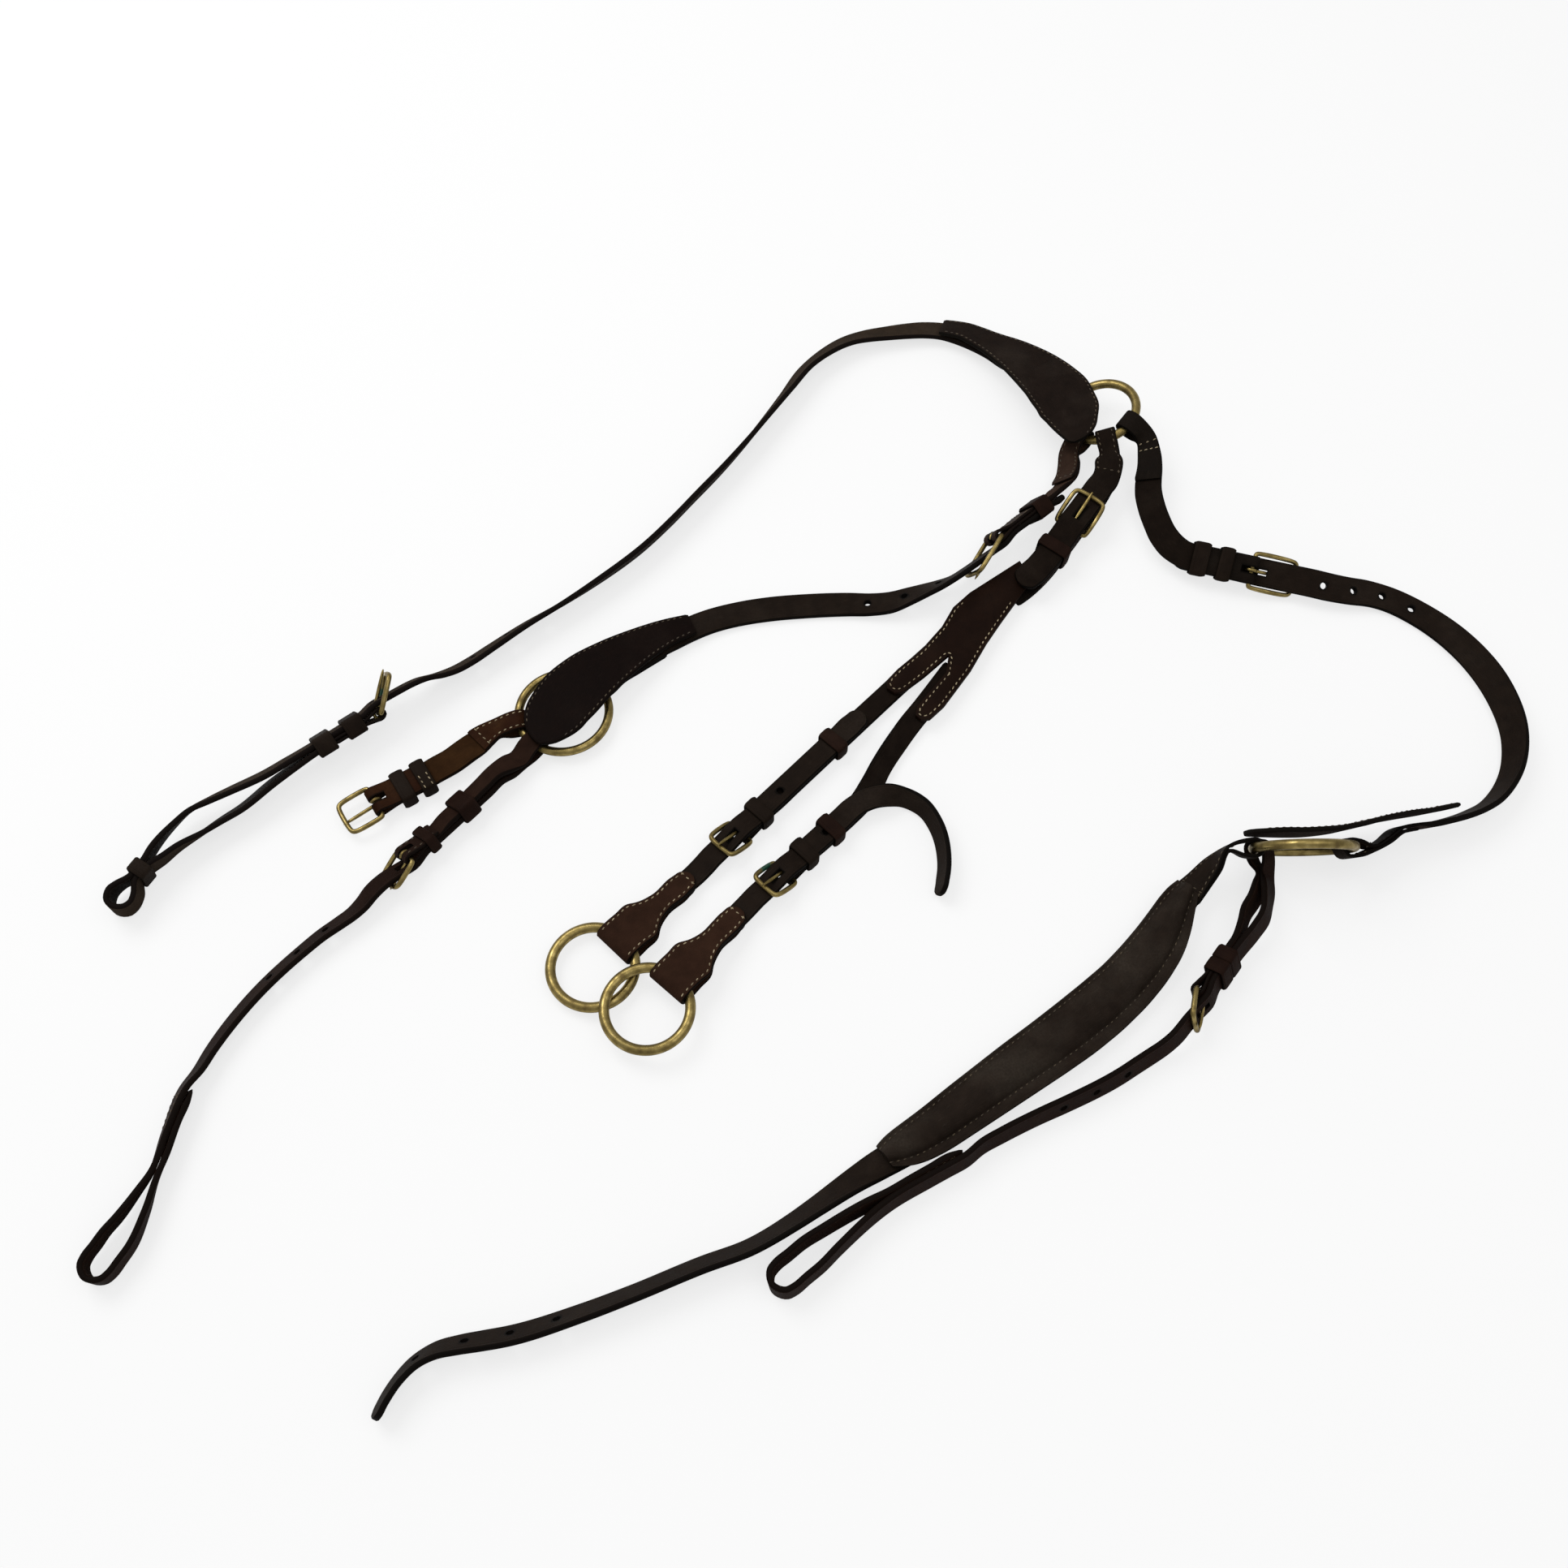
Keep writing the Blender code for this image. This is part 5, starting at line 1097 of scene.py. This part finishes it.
def softened_fork():
    piece = show("fork_piece_leather", kept(flattened("fork_piece"), "fork_piece_soft"))
    edge = modify(piece, "edge", "BEVEL", width=FORK_BEVEL, segments=3, limit_method="ANGLE")
    edge.angle_limit = math.radians(25)
    settle(piece)
    count = len(piece.data.vertices)
    carry(piece.data, [1.0] * count, [FORK_RIM] * count, [0.0] * count)
    smooth(piece.data, 32)
    return piece


dress(softened_fork(), LEATHERS["fork"], "fork_piece")

# %% The pad
PAD_RIM = 2.0 * MM  # thickness of the flat rim outside the seams
PAD_INSETS = (2.6 * MM, 7.5 * MM)  # each seam from its edge: upper left, lower right
MOST_INSET = 0.42  # share of the half width, where the pad is narrow
PAD_ROLL = 2.3  # the power that shapes the stuffed roll between the seams
PAD_CHANNEL = 0.6 * MM  # how deep a seam pulls the leather
CHANNEL_REACH = 1.1 * MM
PUCKER = 0.1 * MM  # from stitch to stitch
PAD_COLUMNS, PAD_UNDER_COLUMNS = 45, 9
PAD_EDGE = 0.97  # share of the half width at which the top ends and the edge begins
LOW_AT = 0.7  # share of the half width at which the underside is measured
LEAST_HALF, LEAST_SEWN_HALF = 2 * MM, 7 * MM  # the pad and its seams end below these
FURTHEST = 22 * MM  # no half width is more than this
STITCH_PITCH = 3.4 * MM


def solid_tree(node):
    mesh = merged(node)
    found = BVHTree.FromBMesh(mesh)
    mesh.free()
    return found


def cast(tree, x, y, downward=True):
    """Height of a solid's top or underside at a place; None where there is no solid."""
    start, way = (0.2, -1) if downward else (-0.05, 1)
    hit = tree.ray_cast(Vector((x, y, start)), Vector((0, 0, way)))[0]
    return None if hit is None else hit.z


def reach(tree, place, way):
    """How far a solid goes from a place inside it, in one direction."""
    low, high = 0.0, FURTHEST
    for _ in range(12):
        middle = (low + high) / 2
        spot = place + way * middle
        low, high = (middle, high) if cast(tree, *spot) is not None else (low, middle)
    return low


def evened(rows, span=7):
    """Each column's running mean, its ends kept."""
    rows = np.asarray(rows)
    before, after = (np.repeat(end, span // 2, 0) for end in (rows[:1], rows[-1:]))
    padded = np.concatenate([before, rows, after])
    return np.array([padded[i : i + span].mean(0) for i in range(len(rows))])


def pad_stations():
    """Plan place, direction across, half width, two underside heights and top height."""
    tree = solid_tree("wither_pad")
    strap = STRAPS["wither_billet_strap"]
    found = []
    for i in range(strap.step(60), len(strap.middle)):
        place, across = strap.middle[i][:2], unit(strap.across[i][:2])
        if cast(tree, *place) is None:
            continue
        left, right = reach(tree, place, -across), reach(tree, place, across)
        centre = place + across * (right - left) / 2
        half = (left + right) / 2
        lows = [
            cast(tree, *(centre + across * half * v), downward=False) for v in (-LOW_AT, LOW_AT)
        ]
        top = cast(tree, *centre)
        if half > LEAST_HALF and None not in lows and top is not None:
            found.append((*centre, *across, half, *lows, top))
    return evened(found)


def seam_places(half, ax, ay):
    """Where the two seams lie across the pad, from -1 to 1; its wide rim is on the +x, -y side."""
    narrow, wide = (1 - min(inset / half, MOST_INSET) for inset in PAD_INSETS)
    return (-narrow, wide) if ax > ay else (-wide, narrow)


def pad_height(v, seams, half, thick, s):
    middle, span = sum(seams) / 2, (seams[1] - seams[0]) / 2
    crown = max(0.0, 1 - abs((v - middle) / span) ** PAD_ROLL)
    away = min(abs(v - seam) for seam in seams) * half
    channel = math.exp(-((away / CHANNEL_REACH) ** 2))
    pull = PAD_CHANNEL + PUCKER * math.cos(2 * math.pi * s / STITCH_PITCH)
    return PAD_RIM + (thick - PAD_RIM) * crown - channel * pull


def pad_points(stations):
    """Rings of points round the pad, and the two seam lines on its top."""
    rings, seams, run = [], ([], []), 0.0
    for k, (x, y, ax, ay, half, low_a, low_b, top) in enumerate(stations):
        if k:
            run += float(np.hypot(x - stations[k - 1][0], y - stations[k - 1][1]))
        thick = max(top - (low_a + low_b) / 2, 1.2 * PAD_RIM)
        places = seam_places(half, ax, ay)

        def at(v, height):
            low = (low_a + low_b) / 2 + (low_b - low_a) / (2 * LOW_AT) * v
            return (x + ax * half * v, y + ay * half * v, low + height)

        def corner(v, height, side):
            return (at(v, height), side, (1 - abs(v)) * half / MM, run)

        def top_height(v):
            return pad_height(v, places, half, thick, run)

        over = np.linspace(-PAD_EDGE, PAD_EDGE, PAD_COLUMNS)
        under = np.linspace(PAD_EDGE, -PAD_EDGE, PAD_UNDER_COLUMNS)
        ring = [corner(v, top_height(v), 1.0) for v in over]
        ring.append(corner(1.0, PAD_RIM / 2, 0.0))
        ring += [corner(v, 0.0, -1.0) for v in under]
        ring.append(corner(-1.0, PAD_RIM / 2, 0.0))
        rings.append(ring)
        if half > LEAST_SEWN_HALF:
            for line, v in zip(seams, places):
                line.append((at(v, top_height(v) - 0.1 * MM), (0.0, 0.0, 1.0)))
    return rings, seams


def make_pad():
    rings, seams = pad_points(pad_stations())
    around, last = len(rings[0]), len(rings) - 1
    faces = []
    for i in range(last):
        for k in range(around):
            a, b = i * around + k, i * around + (k + 1) % around
            faces.append((a, b, b + around, a + around))
    faces += [tuple(range(around)), tuple(range(last * around, len(rings) * around))]
    mesh = skin("pad_panel", [point for ring in rings for point in ring], faces)
    smooth(mesh, 60)
    return show("wither_pad_leather", mesh), seams


pad, PAD_SEAMS = make_pad()
dress(pad, LEATHERS["pad"], "wither_pad")
print("the pad has", len(pad.data.polygons), "faces")

# %% [markdown]
# ## Saddle stitches
#
# A harness seam is sewn by hand with two needles, so each stitch is a short dash that lies at
# a slight slant. One node tree lays them: it cuts a seam line into equal steps, puts a small
# thread bead on each, turns it along the seam with its back to the leather, and makes them
# real.

# %% The stitch tree
STITCH_LENGTH = 2.3 * MM
THREAD = 0.8 * MM
SLANT = 0.16  # radians
UNEVEN = (0.85, 1.1)  # shortest and longest stitch, as shares of the length
STITCH_SEED = 4
STRANDS_PER_METRE = 900.0
DIRT_PER_METRE = 350.0
STITCH_INPUTS = (
    ("Seam", "Geometry"),
    ("Pitch", "Float"),
    ("Dash", "Float"),
    ("Thread", "Float"),
    ("Look", "Material"),
)


def stitch_tree():
    tree = bpy.data.node_groups.new("saddle_stitch", "GeometryNodeTree")
    for name, kind in STITCH_INPUTS:
        tree.interface.new_socket(name, in_out="INPUT", socket_type="NodeSocket" + kind)
    tree.interface.new_socket("Stitches", in_out="OUTPUT", socket_type="NodeSocketGeometry")
    given = add(tree, "NodeGroupInput").outputs
    line = add(tree, "GeometryNodeMeshToCurve", {"Mesh": given["Seam"]}).outputs[0]
    steps = {"Curve": line, "Length": given["Pitch"]}
    line = add(tree, "GeometryNodeResampleCurve", steps, mode="LENGTH").outputs[0]
    lift = add(
        tree, "GeometryNodeInputNamedAttribute", {"Name": "lift"}, data_type="FLOAT_VECTOR"
    ).outputs["Attribute"]
    tangent = add(tree, "GeometryNodeInputTangent").outputs[0]
    turn = add(tree, "FunctionNodeAlignRotationToVector", {"Vector": tangent}, axis="X")
    turn = add(
        tree,
        "FunctionNodeAlignRotationToVector",
        {"Rotation": turn.outputs[0], "Vector": lift},
        axis="Z",
        pivot_axis="X",
    )
    turn = add(
        tree,
        "FunctionNodeRotateRotation",
        {"Rotation": turn.outputs[0], "Rotate By": (0.0, 0.0, SLANT)},
        rotation_space="LOCAL",
    )
    range_of = {2: UNEVEN[0], 3: UNEVEN[1], "Seed": STITCH_SEED}
    wobble = add(tree, "FunctionNodeRandomValue", range_of, data_type="FLOAT").outputs[1]
    share = {0: given["Dash"], 1: wobble}
    dash = add(tree, "ShaderNodeMath", share, operation="MULTIPLY").outputs[0]
    size = add(tree, "ShaderNodeCombineXYZ", {0: dash, 1: given["Thread"], 2: given["Thread"]})
    bead = add(tree, "GeometryNodeMeshUVSphere", {"Segments": 6, "Rings": 4, "Radius": 0.5})
    laid = add(
        tree,
        "GeometryNodeInstanceOnPoints",
        {
            "Points": line,
            "Instance": bead.outputs["Mesh"],
            "Rotation": turn.outputs[0],
            "Scale": size.outputs[0],
        },
    )
    real = add(tree, "GeometryNodeRealizeInstances", {"Geometry": laid.outputs[0]}).outputs[0]
    done = add(tree, "GeometryNodeSetMaterial", {"Geometry": real, "Material": given["Look"]})
    add(tree, "NodeGroupOutput", {"Stitches": done.outputs[0]})
    return tree


def thread(name, pale, dark):
    made = bpy.data.materials.new(name)
    made.use_nodes = True
    tree = made.node_tree
    shader = tree.nodes["Principled BSDF"]
    place = add(tree, "ShaderNodeTexCoord").outputs["Object"]
    dirt = add(tree, "ShaderNodeTexNoise", {"Vector": place, "Scale": DIRT_PER_METRE, "Detail": 3})
    share = add(tree, "ShaderNodeMapRange", {0: dirt.outputs["Fac"], 1: 0.35, 2: 0.65})
    tone = add(
        tree,
        "ShaderNodeMix",
        {0: share.outputs[0], 6: colour(dark), 7: colour(pale)},
        data_type="RGBA",
    )
    tree.links.new(tone.outputs[2], shader.inputs["Base Color"])
    shader.inputs["Roughness"].default_value = 0.7
    strands = add(tree, "ShaderNodeTexWave", {"Vector": place, "Scale": STRANDS_PER_METRE})
    relief = {"Height": strands.outputs["Fac"], "Strength": 0.4, "Distance": 0.1 * MM}
    tree.links.new(add(tree, "ShaderNodeBump", relief).outputs[0], shader.inputs["Normal"])
    return made


THREADS = {
    "pale": thread("waxed_linen_pale", "#a8997a", "#6e6049"),
    "dark": thread("waxed_linen_brown", "#51442f", "#2c231a"),
}

# %% Where the seams run
UPWARD = np.array([0.0, -0.3, 0.95])  # towards the camera
SEAM_INSET = 1.9  # mm from a strap's edge
SUNK = 0.05 * MM  # how far a stitch's middle lies in the leather
CROSS_PITCH = 2.9 * MM  # where a seam is only a short row across
KEEPER_PITCH = 2.4 * MM
ROW_STEP = 1.2  # mm
LAYER_NEAR = 4 * MM  # in plan, another layer is at most this far away
LAYER_APART = 12 * MM  # along the strap, it is at least this far away
LAYER_ABOVE = 1 * MM


def top_layer(strap, s):
    """The section at s, or the one lying over it where the strap is folded on itself."""
    i = strap.step(s)
    here = strap.middle[i]
    away = np.hypot(*(strap.middle[:, :2] - here[:2]).T)
    apart = np.abs(strap.at - strap.at[i]) > LAYER_APART
    other = (away < LAYER_NEAR) & apart & (strap.middle[:, 2] > here[2] + LAYER_ABOVE)
    return i if not other.any() else int(np.argmin(np.where(other, away, 1.0)))


def stitched_spot(strap, i, share):
    side = 1.0 if strap.out[i] @ UPWARD >= 0 else -1.0
    out = strap.out[i] * side
    half = np.linalg.norm(strap.width[i]) / MM
    w = share * max(half - SEAM_INSET, 0.3) * MM
    return strap.middle[i] + strap.across[i] * w + strap.thick[i] * side - out * SUNK, out


def long_row(strap, first, last, share):
    steps = np.arange(first, last, ROW_STEP)
    return [stitched_spot(strap, top_layer(strap, s), share) for s in steps]


def cross_row(strap, s):
    i = top_layer(strap, s)
    return [stitched_spot(strap, i, share) for share in np.linspace(-1, 1, 12)]


BOTH = (-1, 1)  # edges of a strap
# strap, thread, long rows as (from, to, which edges), cross rows at
SEWN = (
    ("girth_strap", "dark", [(50, 90, BOTH), (100, 190, (1,))], [90]),
    ("girth_safe", "dark", [(4, 128, BOTH)], []),
    ("left_safe", "dark", [(4, 108, BOTH)], []),
    ("right_safe", "dark", [(4, 108, BOTH)], []),
    ("left_neck_chape", "dark", [(4, 24, BOTH), (150, 185, BOTH)], [6, 185]),
    ("right_neck_chape", "pale", [], [152, 157]),
    ("left_neck_strap", "dark", [(322, 352, BOTH)], [324]),
    ("right_neck_strap", "dark", [(394, 424, BOTH)], [396]),
    ("wither_buckle_strap", "pale", [(134, 161, BOTH)], [161]),
    ("martingale_strap", "dark", [(135, 162, BOTH)], [162]),
    ("left_ring_tab", "pale", [(64, 114, BOTH)], [114]),
    ("right_ring_tab", "pale", [(64, 116, BOTH)], [116]),
    ("left_branch_strap", "dark", [(3, 16, BOTH)], [4]),
    ("right_branch_strap", "dark", [(3, 16, BOTH)], [4]),
    ("left_saddle_strap", "dark", [(3, 18, BOTH), (566, 580, BOTH)], [580]),
    ("right_saddle_strap", "dark", [(3, 18, BOTH), (592, 606, BOTH)], [606]),
    ("wither_billet_strap", "dark", [(3, 34, BOTH)], [4]),
)

FORK_INSET = 1.9 * MM
FORK_NECK_Y = 0.108  # m; beyond it the fork's neck turns round the buckle's bar
FORK_TOP = 0.6  # a face whose normal goes up more than this is on the fork's top


def doubled_area(points):
    """Twice a plan outline's area, below zero where it runs clockwise."""
    x, y = points.T
    return (x * np.roll(y, -1) - y * np.roll(x, -1)).sum()


def fork_outline():
    """The longest closed rim of the fork's top, in plan."""
    mesh = merged("fork_piece")
    top = {f for f in mesh.faces if f.normal.z > FORK_TOP}
    rim = [e for e in mesh.edges if sum(f in top for f in e.link_faces) == 1]
    links = {}
    for edge in rim:
        for vert in edge.verts:
            links.setdefault(vert, []).append(edge.other_vert(vert))
    left, loops = list(links), []  # a list, so that every run sews alike
    while left:
        loop = [left.pop(0)]
        while True:
            near = [v for v in links[loop[-1]] if v in left]
            if not near:
                break
            left.remove(near[0])
            loop.append(near[0])
        loops.append(np.array([v.co[:2] for v in loop]))
    mesh.free()
    return max(loops, key=lambda p: abs(doubled_area(p)))


def fork_seams():
    """Lines a little inside the edge of the fork's top, broken where the neck turns."""
    loop = fork_outline()
    closed = np.vstack([loop, loop[:1]])
    steps = np.concatenate([[0], np.cumsum(np.hypot(*np.diff(closed, axis=0).T))])
    at = np.arange(0, steps[-1], ROW_STEP * MM)
    fine = np.column_stack([np.interp(at, steps, closed[:, k]) for k in (0, 1)])
    travel = unit(np.roll(fine, -2, 0) - np.roll(fine, 2, 0))
    inward = np.column_stack([-travel[:, 1], travel[:, 0]])
    inset = fine + inward * FORK_INSET * (1 if doubled_area(fine) > 0 else -1)
    tree = solid_tree("fork_piece")
    runs, line = [], []
    for spot in inset:
        clear = np.hypot(*(fine - spot).T).min() > 0.9 * FORK_INSET
        height = cast(tree, *spot) if clear and spot[1] < FORK_NECK_Y else None
        if height is not None:
            line.append(((*spot, height - 0.02 * MM), (0.0, 0.0, 1.0)))
        elif line:
            runs.append(line)
            line = []
    return [r for r in runs + [line] if len(r) > 4]


SEWN_KEEPER = "wither_running_keeper"  # the one beside the ring
KEEPER_ROWS = (-2.2, 2.2)  # mm from the keeper's middle, along the strap
KEEPER_ROW = np.linspace(1.5, 8.0, 8)  # mm from its middle, across the strap


def keeper_rows():
    """Two short rows over the near half of the keeper's top."""
    tree = solid_tree(SEWN_KEEPER)
    low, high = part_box(SEWN_KEEPER)
    centre = (np.array(low) + np.array(high)) / 2
    strap = STRAPS["wither_buckle_strap"]
    i = top_layer(strap, strap.at[strap.nearest(centre)] / MM)
    across = unit(strap.across[i][:2])
    across = across if across[1] < 0 else -across
    travel = np.array([-across[1], across[0]])
    rows = []
    for way in KEEPER_ROWS:
        row = []
        for w in KEEPER_ROW:
            place = centre[:2] + travel * way * MM + across * w * MM
            height = cast(tree, *place)
            if height is not None:
                row.append(((*place, height - 0.1 * MM), (0.0, 0.0, 1.0)))
        rows.append(row)
    return [row for row in rows if len(row) > 1]


# %% Sew them
STITCHES = stitch_tree()
BEAD_FACES = 24


def sew(name, lines, look, body, pitch=STITCH_PITCH):
    """One object of stitches along several lines of (place, way out of the leather)."""
    points = [p for line in lines for p, _ in line]
    lifts = [out for line in lines for _, out in line]
    edges, start = [], 0
    for line in lines:
        edges += [(start + k, start + k + 1) for k in range(len(line) - 1)]
        start += len(line)
    mesh = bpy.data.meshes.new(name)
    mesh.from_pydata([tuple(p) for p in points], edges, [])
    lift = mesh.attributes.new("lift", "FLOAT_VECTOR", "POINT")
    lift.data.foreach_set("vector", np.asarray(lifts, np.float32).ravel())
    thing = show(name, mesh)
    laid = modify(thing, "stitches", "NODES", node_group=STITCHES)
    given = {"Pitch": pitch, "Dash": STITCH_LENGTH, "Thread": THREAD, "Look": THREADS[look]}
    for item in STITCHES.interface.items_tree:
        if item.in_out == "INPUT" and item.name in given:
            laid[item.identifier] = given[item.name]
    settle(thing)
    thing.data.materials.clear()
    thing.data.materials.append(THREADS[look])
    smooth(thing.data, 80)
    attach(thing, body)
    return len(thing.data.polygons) // BEAD_FACES


count = 0
for node, look, rows, crosses in SEWN:
    strap = STRAPS[node]
    lines = [long_row(strap, a, b, edge) for a, b, edges in rows for edge in edges]
    lines += [cross_row(strap, s) for s in crosses]
    pitch = STITCH_PITCH if rows else CROSS_PITCH
    count += sew(node + "_stitches", lines, look, body_of(node), pitch)
body = body_of(SEWN_KEEPER)
count += sew(
    "wither_keeper_stitches", keeper_rows(), "pale", body, KEEPER_PITCH
)
count += sew("fork_stitches", fork_seams(), "pale", body_of("fork_piece"))
count += sew("pad_stitches", list(PAD_SEAMS), "dark", body_of("wither_pad"))
print("laid", count, "stitches")

# %% [markdown]
# ## Floor, light and camera
#
# The harness lies on a plain white floor under broad, soft light. The camera stands where
# the photographer stood: over the near edge, tilted 27 degrees from straight down.

# %% The white floor
FLOOR_HALF = 6.0
PAPER = 0.86
GLOW = 0.72  # share of pure white that the camera sees in place of the lit paper
floor_mesh = bpy.data.meshes.new("floor")
floor_corners = [
    (x * FLOOR_HALF, y * FLOOR_HALF, 0) for x, y in ((-1, -1), (1, -1), (1, 1), (-1, 1))
]
floor_mesh.from_pydata(floor_corners, [], [(0, 1, 2, 3)])
floor = show("floor", floor_mesh)
paper = bpy.data.materials.new("white_paper")
paper.use_nodes = True
tree = paper.node_tree
tree.nodes.clear()
matt = add(tree, "ShaderNodeBsdfDiffuse", {"Color": (PAPER, PAPER, PAPER, 1.0)})
bright = add(tree, "ShaderNodeEmission", {"Color": (1, 1, 1, 1), "Strength": 1.0})
rays = add(tree, "ShaderNodeLightPath")
glow = {0: rays.outputs["Is Camera Ray"], 1: GLOW}
seen = add(tree, "ShaderNodeMath", glow, operation="MULTIPLY")
mixed = {0: seen.outputs[0], 1: matt.outputs[0], 2: bright.outputs[0]}
mix = add(tree, "ShaderNodeMixShader", mixed)
add(tree, "ShaderNodeOutputMaterial", {"Surface": mix.outputs[0]})
floor.data.materials.append(paper)
floor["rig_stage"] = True

# %% Soft light
ROOM_LIGHT = 0.55
world = bpy.data.worlds.new("soft_room")
bpy.context.scene.world = world
world.use_nodes = True
tree = world.node_tree
tree.nodes.clear()
room = add(tree, "ShaderNodeBackground", {"Color": (1, 1, 1, 1), "Strength": ROOM_LIGHT})
white = add(tree, "ShaderNodeBackground", {"Color": (1, 1, 1, 1), "Strength": 1.0})
rays = add(tree, "ShaderNodeLightPath")
mixed = {0: rays.outputs["Is Camera Ray"], 1: room.outputs[0], 2: white.outputs[0]}
mix = add(tree, "ShaderNodeMixShader", mixed)
add(tree, "ShaderNodeOutputWorld", {"Surface": mix.outputs[0]})


def lamp(name, place, power, size):
    data = bpy.data.lights.new(name, "AREA")
    data.energy = power
    data.shape = "SQUARE"
    data.size = size
    thing = show(name, data)
    thing.location = place
    thing.rotation_euler = (-Vector(place)).to_track_quat("-Z", "Y").to_euler()


lamp("window", (-0.9, 0.7, 1.5), 16.0, 1.1)
lamp("ceiling", (0.6, -0.2, 1.9), 9.0, 1.6)

# %% The camera
CAMERA_PLACE = (-0.027428, -0.388143, 0.7565)
CAMERA_TILT = math.radians(27)
camera_data = bpy.data.cameras.new("camera")
camera_data.lens = 36
camera_data.sensor_width = 36
camera = show("camera", camera_data)
camera.location = CAMERA_PLACE
camera.rotation_euler = (CAMERA_TILT, 0, 0)
bpy.context.scene.camera = camera
bpy.context.scene.view_settings.view_transform = "Standard"

# %% [markdown]
#
# Both boxes are measured, the solid model's and the visual model's, and how far the visual
# box's upper corner lies beyond the solid's is printed, in millimetres. The visual model
# has to stay within the solid model's box.

# %% Measure the sizes and finish
sizes = {
    "cad": [list(CAD_BOX[0]), list(CAD_BOX[1])],
    "visual": [list(corner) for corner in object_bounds()],
}
growth = [round((b - a) / MM, 2) for a, b in zip(sizes["cad"][1], sizes["visual"][1])]
print("grown by, in mm:", growth)
